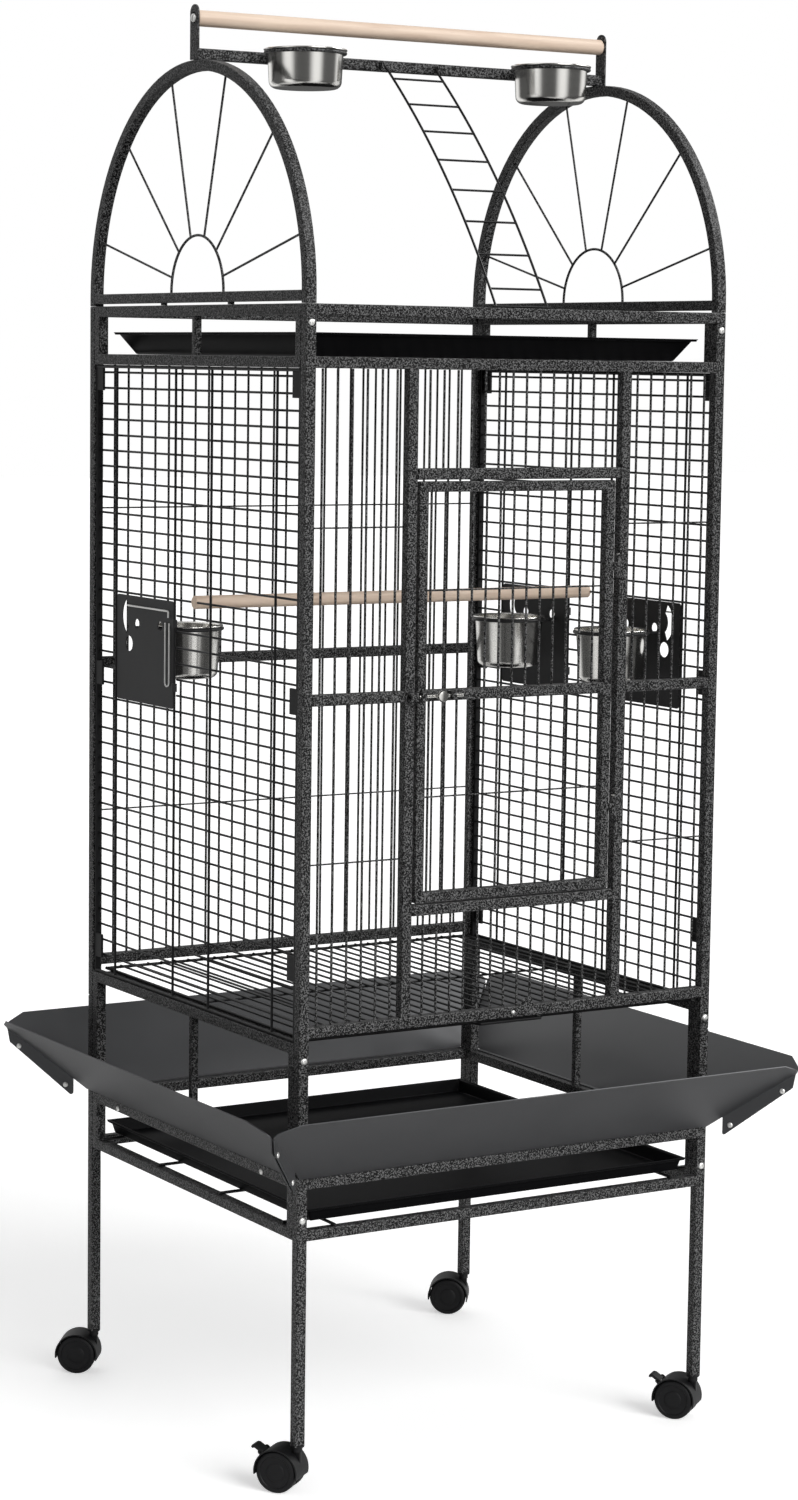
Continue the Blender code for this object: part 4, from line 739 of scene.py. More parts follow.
class CAGE_OT_main_door(bpy.types.Operator):
    """Model the barred door, its slide latch and its hinge pins."""

    bl_idname = "cage.main_door"
    bl_label = "Main door"

    def execute(self, context):
        depth = span(-1, HALF_Y, INNER_Y)
        low = DOOR_SILL + TUBE + 0.002
        high = DOOR_LINTEL - 0.002
        inside = (DOOR_LEFT + DOOR_MEMBER - OVERLAP, DOOR_RIGHT - DOOR_MEMBER + OVERLAP)
        tubes = [tube((start, start + DOOR_MEMBER), depth, (low, high))
                 for start in (DOOR_LEFT, DOOR_RIGHT - DOOR_MEMBER)]
        for foot, height in ((low, DOOR_MEMBER), (MID_RAIL, TUBE), (high - DOOR_MEMBER, DOOR_MEMBER)):
            tubes.append(tube(inside, depth, tall(foot, height)))
        first = (DOOR_LEFT + DOOR_RIGHT) / 2 - 0.003 - 6 * BAR_PITCH
        bars = row(straight(first, -POST_Y, (low + 0.011, high - 0.011), BAR), 13, (BAR_PITCH, 0, 0))
        wire_y = -POST_Y + BAR / 2 + CROSS_WIRE / 2
        wires = [straight(inside, wire_y, height, CROSS_WIRE) for height in DOOR_CROSS_WIRES]
        small = [guide_block((start, start + 0.006)) for start in (DOOR_LEFT + 0.001, LATCH_KNOB_X + 0.014)]
        for height in HINGE_HEIGHTS:
            small += knuckle(height - KNUCKLE / 2, DOOR_RIGHT - OVERLAP)
        shape = join([welded(tubes, [bars, *wires]), rounded(join(small), 0.0004, 2)])
        done(shape, "main_door_bars", "door", "frame_paint", ["main_door"])
        self.latch()
        self.pins()
        return {"FINISHED"}

    def latch(self):
        """The bolt with its turned pull knob."""
        bolt = straight((DOOR_LEFT - 0.001, LATCH_KNOB_X + 0.031), LATCH_Y, LATCH_Z, LATCH_BOLT, 20)
        profile = ((0.0, 0.003), (0.0029, 0.003), (0.0029, -0.0012), (0.0056, -0.0019), (0.0068, -0.0030),
                   (0.0070, -0.0045), (0.0060, -0.0060), (0.0036, -0.0065), (0.0, -0.0065))
        knob = spun(profile, (LATCH_KNOB_X, LATCH_Y - LATCH_BOLT / 2, LATCH_Z), ALONG_Y, 32)
        shape = join([rounded(join([bolt]), 0.0006, 2), knob])
        done(shape, "door_latch_bolt", "latch", "polished_steel", ["door_latch"])

    def pins(self):
        """The headed pins of both hinges."""
        reach = 1.5 * KNUCKLE + GAP
        profile = ((0.0, -reach), (0.0012, -reach), (0.0012, reach + 0.0003), (0.0022, reach + 0.0003),
                   (0.0022, reach + 0.0010), (0.0013, reach + 0.0018), (0.0, reach + 0.0018))
        for name, height in zip(("lower_hinge_pin", "upper_hinge_pin"), HINGE_HEIGHTS):
            shape = spun(profile, (HINGE_X, HINGE_Y, height), UPWARD, 20)
            done(shape, name + "_turned", "cage", "polished_steel", [name])


class CAGE_OT_rear_panel(bpy.types.Operator):
    """Model the barred rear with its posts, rails and thin cross wires."""

    bl_idname = "cage.rear_panel"
    bl_label = "Rear panel"

    def execute(self, context):
        tubes = posts(1) + long_rails(1, (BOTTOM_RAIL, MID_RAIL, ROOF_RAIL, TOP_RAIL))
        bars = barred(INNER_X, BAR_PITCH, POST_Y, (BOTTOM_RAIL + 0.012, ROOF_RAIL + OVERLAP), BAR)
        wire_y = POST_Y - BAR / 2 - CROSS_WIRE / 2
        wires = [straight((-POST_X, POST_X), wire_y, height, CROSS_WIRE) for height in CROSS_HEIGHTS]
        done(welded(tubes, [bars, *wires]), "rear_panel_bars", "cage", "frame_paint", ["rear_panel"])
        return {"FINISHED"}


def mesh_height(index):
    """Height of a level wire of a side panel, counted from the top."""
    return MESH_TOP_WIRE - MESH_PITCH * index


class CAGE_OT_side_panels(bpy.types.Operator):
    """Model the wire mesh of both sides with its strips, uprights, feeder openings and hook tabs."""

    bl_idname = "cage.side_panels"
    bl_label = "Side panels"

    def execute(self, context):
        for name, side, middles in (("left_side_panel", -1, (1,)), ("right_side_panel", 1, (-1, 1))):
            shape = join([self.strips(side), self.wires(side, middles)])
            done(shape, name + "_mesh", "cage", "wire_coat", [name])
        return {"FINISHED"}

    def strips(self, side):
        """End strips with their hook tabs."""
        shapes = []
        reach = span(side, MESH_X - 0.0022, UPRIGHT_X + MESH_UPRIGHT / 2)
        tab = span(side, UPRIGHT_X - 0.0015, UPRIGHT_X + 0.0015)
        for end in (-1, 1):
            shapes.append(tube(reach, span(end, STRIP_Y, STRIP_Y + 0.004),
                               (SIDE_SILL + TUBE + GAP, ROOF_RAIL - GAP)))
            for height in TAB_HEIGHTS[end]:
                shapes.append(tube(tab, span(end, INNER_Y - TAB_WIDTH, INNER_Y - GAP),
                                   (height - TAB_HALF_HEIGHT, height + TAB_HALF_HEIGHT)))
        return rounded(join(shapes), 0.0006, 2)

    def wires(self, side, middles):
        """Level wires, uprights and border wires."""
        x = side * MESH_X
        upright_x = side * UPRIGHT_X
        reach = STRIP_Y + 0.002
        low = SIDE_SILL + TUBE + GAP + 0.002
        high = ROOF_RAIL - GAP - 0.002
        shapes = [straight(upright_x, (-reach, reach), height, BORDER_WIRE) for height in (low, high)]
        for y in (-UPRIGHTS[1], -UPRIGHTS[0], UPRIGHTS[0], UPRIGHTS[1]):
            shapes.append(straight(upright_x, y, (low, high), MESH_UPRIGHT))
        count = int((MESH_TOP_WIRE - (SIDE_SILL + TUBE + 0.012)) / MESH_PITCH) + 1
        top, below = FEEDER_WIRES_CUT[0], FEEDER_WIRES_CUT[1] + 1
        fields = [(0, top, -reach, reach), (below, count, -reach, reach)]
        start = -reach
        for middle in sorted(middles):
            near, far = sorted((middle * UPRIGHTS[0], middle * UPRIGHTS[1]))
            fields.append((top, below, start, near))
            start = far
        fields.append((top, below, start, reach))
        for first, after, near, far in fields:
            wire = straight(x, (near, far), mesh_height(first), MESH_WIRE)
            shapes.append(row(wire, after - first, (0, 0, -MESH_PITCH)))
        return rounded(join(shapes), sizes().wire_rounding, 1)


class CAGE_OT_feeder_doors(bpy.types.Operator):
    """Model the pierced feeder doors with their knuckles, bowl rings and bright latch wires."""

    bl_idname = "cage.feeder_doors"
    bl_label = "Feeder doors"

    def execute(self, context):
        for feeder in FEEDERS:
            self.door(*feeder)
        return {"FINISHED"}

    def door(self, name, side, middle, bowl_out):
        """One door with its ring."""
        hinge_x = side * UPRIGHT_X
        hinge_y = middle * UPRIGHTS[0]
        first, last = FEEDER_WIRES_CUT
        low = mesh_height(last + 1) + 0.0026
        high = mesh_height(first - 1) - 0.0022
        start = MESH_UPRIGHT / 2 + 0.0012
        end = UPRIGHTS[1] - UPRIGHTS[0] - start
        soft = FEEDER_CORNER
        outline = []
        for across, height, turn in ((end - soft, high - soft, 0), (start + soft, high - soft, 90),
                                     (start + soft, low + soft, 180), (end - soft, low + soft, 270)):
            outline += arc((across, height), soft, turn, turn + 90, 5)
        holes = [circle((across, high - down), radius) for across, down, radius in FEEDER_HOLES]
        centre = (FEEDER_CRESCENT[0], high - FEEDER_CRESCENT[1])
        holes.append(arc(centre, 0.0265, -58, 58, 14) + arc(centre, 0.0150, 52, -52, 12))
        place = plane_at((hinge_x, hinge_y, 0), (0, middle, 0), UPWARD)
        sheet = plate(outline, FEEDER_SHEET, place, 0.0003, holes)
        small = []
        for index in (first, last - 1):
            middle_z = (mesh_height(index) + mesh_height(index + 1)) / 2
            ends = (middle_z - 0.005, middle_z + 0.005)
            small.append(straight(hinge_x, hinge_y, ends, 0.0064, 20))
            small.append(tube((hinge_x - 0.001, hinge_x + 0.001),
                              (hinge_y + middle * 0.0022, hinge_y + middle * (start + 0.002)), ends))
        x = side * BOWL_X
        y = hinge_y + middle * bowl_out
        z = BOWL_TOP - 0.0022 - GAP - RING_WIRE / 2
        radius = BOWL_BODY / 2 + GAP + RING_WIRE / 2
        small.append(ring(x, y, z, radius))
        for shift in (-0.026, 0.026):
            touch = x + side * math.sqrt(radius ** 2 - shift ** 2)
            small.append(straight((touch, hinge_x), y + shift, z, RING_WIRE))
        shape = join([sheet, rounded(join(small), 0.0003, 1, 60)])
        done(shape, name + "_feeder_plate", name + "_feeder", "plate_coat", [name + "_feeder_door"])
        self.latch(name, side, place, high)

    def latch(self, name, side, place, high):
        """Bright wires that bolt the door, held in small loops."""
        face = Vector((side * 0.0022, 0, 0))

        def wire(diameter, *spots):
            points = [place @ Vector((across, high - down, 0)) + face for across, down in spots]
            return bent_wire(points, diameter)

        start, end = FEEDER_BOLTS[name]
        bolt = wire(0.0024, (end, 0.0125), (start + 0.002, 0.0125), (start + 0.0006, 0.0131),
                    (start, 0.0145), (start, 0.0205))
        upright = wire(0.0020, (0.0210, 0.0270), (0.0210, 0.1000), (0.0200, 0.1030), (0.0158, 0.1045),
                       (0.0116, 0.1030), (0.0105, 0.1000), (0.0105, 0.0270))
        done(join([bolt, upright]), name + "_feeder_bolt_wire", name + "_feeder", "zinc")


def bowl(name, body, centre, top, outer, rim, height, taper):
    """A spun steel bowl with a rolled rim."""
    wall = BOWL_WALL
    floor = top - height
    turn = (outer - taper - FOOT_ROUND, floor + FOOT_ROUND)
    profile = [(0.0, floor + wall)] + arc(turn, FOOT_ROUND - wall, -90, 0, 6)
    profile += [(outer - wall, top - 0.006), (outer - wall, top - 0.0016)]
    profile += arc((rim - RIM_ROLL, top - RIM_ROLL), RIM_ROLL, 110, -110, 6) + [(outer, top - 0.0034)]
    profile += arc(turn, FOOT_ROUND, 0, -90, 8) + [(0.0, floor)]
    shape = spun(profile, (*centre, 0), UPWARD, sizes().bowl_steps)
    done(shape, name + "_spun", body, "polished_steel", [name], 50)


class CAGE_OT_bowls(bpy.types.Operator):
    """Model the three feeder bowls and the two cups of the play top."""

    bl_idname = "cage.bowls"
    bl_label = "Bowls and cups"

    def execute(self, context):
        for name, side, middle, bowl_out in FEEDERS:
            centre = (side * BOWL_X, middle * (UPRIGHTS[0] + bowl_out))
            bowl(name + "_bowl", name + "_feeder_bowl", centre, BOWL_TOP, BOWL_BODY / 2, BOWL_RIM / 2,
                 BOWL_HEIGHT, BOWL_TAPER)
        for name, side in (("left_cup", -1), ("right_cup", 1)):
            bowl(name, name + "_body", (side * CUP_X, CUP_Y), CUP_TOP, CUP_BODY / 2, CUP_RIM / 2, CUP_HEIGHT,
                 CUP_TAPER)
        return {"FINISHED"}


class CAGE_OT_upper_frames(bpy.types.Operator):
    """Model the ladder-like frames above the side panels and the bars of the roof."""

    bl_idname = "cage.upper_frames"
    bl_label = "Upper frames and roof"

    def execute(self, context):
        reach = INNER_Y - GAP
        between = (ROOF_RAIL + TUBE - OVERLAP, TOP_RAIL + OVERLAP)
        for name, side in (("left_upper_frame", -1), ("right_upper_frame", 1)):
            width = span(side, HALF_X, INNER_X)
            tubes = [tube(width, (-reach, reach), tall(foot)) for foot in (ROOF_RAIL, TOP_RAIL)]
            tubes += [tube(width, span(end, reach - TUBE, reach), between) for end in (-1, 1)]
            tubes.append(tube(span(side, POST_X - 0.0045, POST_X + 0.0045), (-0.0045, 0.0045), between))
            done(welded(tubes), name + "_tubes", "cage", "frame_paint", [name])
        top = ROOF_RAIL + TUBE
        reach_x = INNER_X - GAP
        strips = [tube((-reach_x, reach_x), span(end, reach, reach - 0.004), (top - 0.012, top - 0.0017))
                  for end in (-1, 1)]
        bar_y = reach - OVERLAP
        bars = barred(reach_x, ROOF_PITCH, (-bar_y, bar_y), top - BAR / 2, BAR)
        done(welded(strips, [bars], 0.0005), "roof_grille_bars", "cage", "wire_coat", ["roof_grille"])
        return {"FINISHED"}


class CAGE_OT_arches(bpy.types.Operator):
    """Model the half-round end frames of the play top with their sunburst wires."""

    bl_idname = "cage.arches"
    bl_label = "Arches"

    def execute(self, context):
        foot = TOP + 0.003
        centre = foot + 0.013
        reach = INNER_Y + OVERLAP
        for name, side in (("left_arch", -1), ("right_arch", 1)):
            x = side * POST_X
            shapes = [self.hoop(x, POST_Y, TOP + GAP, ARCH_CENTRE, TUBE, True)]
            base = tube(span(side, HALF_X, INNER_X), (-reach, reach), (foot, foot + 0.012))
            shapes.append(rounded(join([base]), sizes().tube_rounding, 3))
            shapes.append(self.hoop(x, ARCH_HUB, foot + 0.011, centre, HUB_WIRE, False))
            shapes += [straight(x, y, (TOP + GAP, foot + 0.001), 0.008, 20) for y in ARCH_STUDS]
            for angle in range(15, 180, 30):
                y = math.cos(math.radians(angle))
                z = math.sin(math.radians(angle))
                shapes.append(rod((x, ARCH_HUB * y, centre + ARCH_HUB * z),
                                  (x, reach * y, ARCH_CENTRE + reach * z), SPOKE_WIRE))
            done(join(shapes), name + "_tube", "cage", "frame_paint", [name])
        return {"FINISHED"}

    def hoop(self, x, radius, foot, centre, size, square):
        """A section drawn at one foot, run up, spun over and run down."""
        place = (x, radius, foot)
        if square:
            shape = added(bpy.ops.mesh.primitive_plane_add, size=size, location=place)
        else:
            shape = added(bpy.ops.mesh.primitive_circle_add, vertices=12, radius=size / 2, fill_type="NGON",
                          location=place)
        bpy.ops.object.transform_apply(location=True, rotation=True, scale=True)
        edit_all()
        if square:
            bpy.ops.mesh.bevel(offset=sizes().tube_rounding, segments=3, affect="VERTICES")
            bpy.ops.mesh.select_all(action="SELECT")
        extrude((0, 0, centre - foot))
        bpy.ops.mesh.spin(steps=56, angle=math.pi, center=(x, 0, centre), axis=(-1, 0, 0))
        extrude((0, 0, foot - centre))
        return closed(shape)


class CAGE_OT_perch_stand(bpy.types.Operator):
    """Model the bar across the arches with its cup rings, ladder lugs and end brackets."""

    bl_idname = "cage.perch_stand"
    bl_label = "Perch stand"

    def execute(self, context):
        half = TUBE / 2
        lug = 0.0035
        bar = tube((-HALF_X + 0.00125, HALF_X - 0.00125), (-half, half), tall(CUP_BAR))
        shapes = [rounded(join([bar]), sizes().tube_rounding, 3)]
        outline = [(-0.010, 0.0), (0.010, 0.0)] + arc((0.0, BRACKET_TALL - 0.010), 0.010, 0, 180, 16)
        slot = arc((0.0, 0.052), 0.0025, 0, 180, 8) + arc((0.0, 0.044), 0.0025, 180, 360, 8)
        ring_z = CUP_BAR + TUBE - RING_WIRE / 2 - 0.0012
        radius = CUP_BODY / 2 + GAP + RING_WIRE / 2
        small = []
        for side in (-1, 1):
            place = plane_at((side * (HALF_X - BRACKET_THICK / 2), 0, CUP_BAR), ALONG_Y, UPWARD)
            shapes.append(plate(outline, BRACKET_THICK, place, 0.0005, [slot]))
            x = side * CUP_X
            small.append(ring(x, CUP_Y, ring_z, radius))
            small.append(tube((x - 0.010, x + 0.010), (CUP_Y + radius - 0.0005, -half + OVERLAP),
                              (ring_z - 0.0015, ring_z + 0.0015)))
            outer = LADDER_HALF + 0.0025
            small.append(tube(span(side, outer, outer + 0.003), (LADDER_PIVOT.y - lug, -half + OVERLAP),
                              (LADDER_PIVOT.z - lug, LADDER_PIVOT.z + lug)))
        shapes.append(rounded(join(small), 0.0004, 2, 60))
        done(join(shapes), "perch_stand_bar", "cage", "frame_paint", ["perch_stand"])
        return {"FINISHED"}


class CAGE_OT_perches(bpy.types.Operator):
    """Model both wooden perches and the bolts of the top one."""

    bl_idname = "cage.perches"
    bl_label = "Perches"

    def execute(self, context):
        self.dowel("top_perch", TOP_PERCH, PERCH_Z, HALF_X - BRACKET_THICK - GAP)
        self.dowel("inner_perch", INNER_PERCH, mesh_height(FEEDER_WIRES_CUT[0] - 1), MESH_X + MESH_WIRE / 2)
        self.bolt("left_perch_bolt", -1)
        self.bolt("right_perch_bolt", 1)
        return {"FINISHED"}

    def dowel(self, name, radius, z, end):
        """A turned dowel with softened ends."""
        soft = 0.0010
        profile = [(0.0, -end), (radius - soft, -end), (radius, -end + soft), (radius, -end / 3),
                   (radius, end / 3), (radius, end - soft), (radius - soft, end), (0.0, end)]
        shape = spun(profile, (0, 0, z), ALONG_X, 32, UPWARD)
        done(shape, name + "_dowel", "cage", "perch_timber", [name])

    def bolt(self, name, side):
        """A round-headed bolt and its washer."""
        profile = [(0.0, -0.021), (0.0022, -0.021), (0.0022, 0.0), (0.0050, 0.0), (0.0050, 0.0008),
                   (0.0044, 0.0018), (0.0028, 0.0027), (0.0, 0.0030)]
        shape = spun(profile, (side * (HALF_X + GAP), 0, PERCH_Z), (side, 0, 0), 24, UPWARD)
        done(shape, name + "_turned", "cage", "zinc", [name])


class CAGE_OT_ladder(bpy.types.Operator):
    """Model the bowed ladder with its hooks and rungs."""

    bl_idname = "cage.ladder"
    bl_label = "Ladder"

    def execute(self, context):
        chord = LADDER_FOOT - LADDER_PIVOT
        out = Vector((0.0, chord.z, -chord.y)).normalized()

        def point(share):
            return LADDER_PIVOT + chord * share + out * LADDER_BOW * 4 * share * (1 - share)

        shapes = []
        for side in (-1, 1):
            x = side * LADDER_HALF
            line = [(x + side * start, LADDER_PIVOT.y, LADDER_PIVOT.z) for start in (0.0075, 0.0010)]
            line += [(x, *point(share / 32).yz) for share in range(1, 33)]
            shapes.append(bent_wire(line, LADDER_WIRE))
        reach = LADDER_HALF + 0.004
        shapes.append(straight((-reach, reach), *LADDER_FOOT.yz, RUNG_WIRE))
        for share in RUNG_SHARES:
            y, z = point(share).yz
            shapes.append(straight((-LADDER_HALF, LADDER_HALF), y + 0.0005, z, RUNG_WIRE))
        done(join(shapes), "ladder_wires", "ladder_body", "wire_coat", ["ladder"])
        return {"FINISHED"}


class CAGE_OT_trays(bpy.types.Operator):
    """Model both folded sheet trays."""

    bl_idname = "cage.trays"
    bl_label = "Trays"

    def execute(self, context):
        for tray in TRAYS:
            self.tray(*tray)
        return {"FINISHED"}

    def tray(self, name, body, floor, height, rim, lean):
        """A sheet inset twice, its floor sunk, its bends rounded, then given its thickness and hem."""
        shape = added(bpy.ops.mesh.primitive_plane_add, size=2.0,
                      location=(0, 0, floor + height + TRAY_SHEET / 2))
        shape.scale = (*rim, 1.0)
        bpy.ops.object.transform_apply(location=True, rotation=True, scale=True)
        edit_all()
        bpy.ops.mesh.inset(thickness=TRAY_RIM)
        bpy.ops.mesh.inset(thickness=lean)
        bpy.ops.transform.translate(value=(0, 0, -height))
        bpy.ops.object.mode_set(mode="OBJECT")
        rounded(shape, sizes().sheet_bend, 3, 20)
        with_modifier(shape, "SOLIDIFY", thickness=TRAY_SHEET, offset=0.0, use_even_offset=True)
        x, y = (reach - HEM / 2 for reach in rim)
        z = floor + height + TRAY_SHEET - HEM / 2
        hem = [straight((-x, x), side * y, z, HEM, 12) for side in (-1, 1)]
        hem += [straight(side * x, (-y, y), z, HEM, 12) for side in (-1, 1)]
        shape = join([shape, rounded(join(hem), 0.0006, 2)])
        done(shape, name + "_sheet", body, "tray_coat", [name])


class CAGE_OT_floor_wires(bpy.types.Operator):
    """Model the pull-out floor grate and the rack of the bottom tray."""

    bl_idname = "cage.floor_wires"
    bl_label = "Grate and rack"

    def execute(self, context):
        z = GRATE_Z
        end = GRATE_Y + 0.0018
        width = (-GRATE_X, GRATE_X)
        shapes = []
        for side in (-1, 1):
            shapes.append(straight(side * GRATE_X, (-end, end), z, BORDER_WIRE))
            shapes.append(straight(width, side * GRATE_Y, z, BORDER_WIRE * 0.95))
        shapes.append(straight(width, 0, z - 0.0005, GRATE_WIRE))
        shapes.append(barred(GRATE_X, GRATE_PITCH, (-GRATE_Y, GRATE_Y), z + 0.0018, GRATE_WIRE))
        loop_y = -HALF_Y + 0.003
        half = [(-0.046, -GRATE_Y, z), (-0.0445, loop_y + 0.003, z), (-0.042, loop_y, z)]
        loop = half + [(-x, y, z) for x, y, z in reversed(half)]
        shapes.append(bent_wire(loop, 0.0036))
        grate = rounded(join(shapes), 0.0003, 1, 60)
        done(grate, "floor_grate_wires", "grate", "wire_coat", ["floor_grate"])
        x_end = HALF_X - 0.002
        y_end = HALF_Y - 0.002
        rack = [straight((-x_end, x_end), y, RACK_Z, BORDER_WIRE) for y in RACK_DEPTHS]
        rack += [straight(x, (-y_end, y_end), RACK_Z, BORDER_WIRE * 0.95) for x in RACK_SIDES]
        done(rounded(join(rack), 0.0004, 1), "tray_rack_wires", "cage", "wire_coat", ["tray_rack"])
        return {"FINISHED"}


class CAGE_OT_grate_lock(bpy.types.Operator):
    """Model the bell-shaped grate lock and its rivet."""

    bl_idname = "cage.grate_lock"
    bl_label = "Grate lock"

    def execute(self, context):
        bell, neck, long = 0.011, 0.004, 0.030
        outline = [(-neck, -long * 0.30), (-bell * 0.72, -long * 0.45), (-bell * 0.95, -long * 0.62),
                   (-bell, -long + 0.003), (-bell + 0.0009, -long + 0.0009), (-bell + 0.003, -long)]
        outline += [(-across, down) for across, down in reversed(outline)]
        outline += arc((0.0, 0.0), neck, 0, 180, 12)
        turn = Matrix.Rotation(math.radians(-105), 4, "Y")
        place = Matrix.Translation((0.0, LOCK_Y, LOCK_Z)) @ turn @ plane_at((0, 0, 0), ALONG_X, UPWARD)
        tab = plate(outline, 0.0012, place, 0.0003)
        done(tab, "grate_lock_bell", "grate_lock", "frame_paint", ["grate_lock_tab"])
        profile = [(0.0, 0.0006), (0.0025, 0.0006), (0.0025, -0.0014), (0.0018, -0.0022), (0.0, -0.0026)]
        done(spun(profile, (0, LOCK_Y, LOCK_Z), ALONG_Y, 20), "grate_lock_rivet", "grate_lock", "zinc")
        return {"FINISHED"}


class CAGE_OT_base_frames(bpy.types.Operator):
    """Model the legs and rails of the stand, with the plugs in the legs."""

    bl_idname = "cage.base_frames"
    bl_label = "Stand"

    def execute(self, context):
        for name, side in (("front_base_frame", -1), ("rear_base_frame", 1)):
            depth = span(side, HALF_Y, INNER_Y)
            tubes = [tube(span(x_side, HALF_X, INNER_X), depth, (LEG_FOOT + 0.0005, POST_FOOT - GAP))
                     for x_side in (-1, 1)]
            tubes += long_rails(side, (STAND_RAIL, SKIRT_RAIL))
            done(welded(tubes), name + "_tubes", "cage", "frame_paint", [name])
        reach = INNER_Y - GAP
        inside = reach - TUBE + OVERLAP
        top = SIDE_SILL + TUBE
        for name, side in (("left_base_frame", -1), ("right_base_frame", 1)):
            width = span(side, HALF_X, INNER_X)
            tubes = [tube(width, span(end, reach - TUBE, reach), (STAND_RAIL, top)) for end in (-1, 1)]
            tubes += [tube(width, (-inside, inside), tall(foot))
                      for foot in (STAND_RAIL, SKIRT_RAIL, SIDE_SILL)]
            tubes.append(tube(span(side, INNER_X + 0.009, INNER_X), (-0.0045, 0.0045),
                              (SKIRT_RAIL + 0.012, SIDE_SILL + OVERLAP)))
            runner = tube(span(side, INNER_X + OVERLAP, INNER_X - 0.010), (-inside, inside),
                          (top - 0.003, top))
            shape = join([welded(tubes), rounded(join([runner]), 0.0006, 2)])
            done(shape, name + "_tubes", "cage", "frame_paint", [name])
        profile = [(0.0, 0.0), (0.0078, 0.0), (0.00825, 0.0006), (0.00825, 0.0028), (0.0072, 0.0035),
                   (0.0, 0.0035)]
        plugs = [spun(profile, (x_side * POST_X, y_side * POST_Y, LEG_FOOT), UPWARD, 28)
                 for _, x_side, y_side in CORNERS]
        done(join(plugs), "leg_plugs", "cage", "moulded_plastic")
        return {"FINISHED"}


class CAGE_OT_skirts(bpy.types.Operator):
    """Model the four sloping seed skirts with their lips and corner flanges."""

    bl_idname = "cage.skirts"
    bl_label = "Seed skirts"

    def execute(self, context):
        long = (HALF_Y, HALF_X, INNER_X - GAP)
        short = (HALF_X, HALF_Y, INNER_Y - TUBE - 2 * GAP)
        for name, x, y, reaches in (("front_skirt", 0, -1, long), ("rear_skirt", 0, 1, long),
                                    ("left_skirt", -1, 0, short), ("right_skirt", 1, 0, short)):
            self.skirt(name, Vector((x, y, 0)), Vector((-y, x, 0)), *reaches)
        return {"FINISHED"}

    def skirt(self, name, outward, along, half_body, half_length, lip_half):
        """One sheet drawn as a face, its lip and end flanges extruded from its edges."""
        inset = SKIRT_SHEET / 2 + GAP

        def spot(across, out):
            return (outward * (half_body + 0.0014 + out) + along * across
                    + Vector((0, 0, SKIRT_FOOT + SKIRT_SLOPE * max(out, 0.0))))

        def choose_near(*points):
            choose(shape, lambda place: any((place - point).length < 0.00005 for point in points))

        right = [spot(half_length + across - inset, out) for across, out in SKIRT_EDGE]
        left = [spot(-half_length - across + inset, out) for across, out in SKIRT_EDGE]
        feet = [spot(-lip_half, 0.0), spot(lip_half, 0.0)]
        shape = drawn_face([left[0], *feet, *right, *reversed(left[1:])])
        choose_near(*feet)
        extrude(outward * -0.0049)
        drop = Vector((0, 0, -SKIRT_FLANGE[0]))
        for edge in (left, right):
            choose_near(edge[1], edge[2])
            extrude(drop)
            choose_near(edge[2] + drop)
            rise = Vector((0, 0, SKIRT_FLANGE[0] - SKIRT_FLANGE[1]))
            bpy.ops.transform.translate(value=(edge[1] - edge[2]).normalized() * 0.004 + rise)
            choose_near(edge[1] + drop)
            bpy.ops.mesh.bevel(offset=0.005, segments=4, affect="VERTICES")
        closed(shape)
        rounded(shape, sizes().sheet_bend * 0.6, 2, 25)
        with_modifier(shape, "SOLIDIFY", thickness=SKIRT_SHEET, offset=0.0, use_even_offset=True)
        done(shape, name + "_sheet", "cage", "skirt_coat", [name])


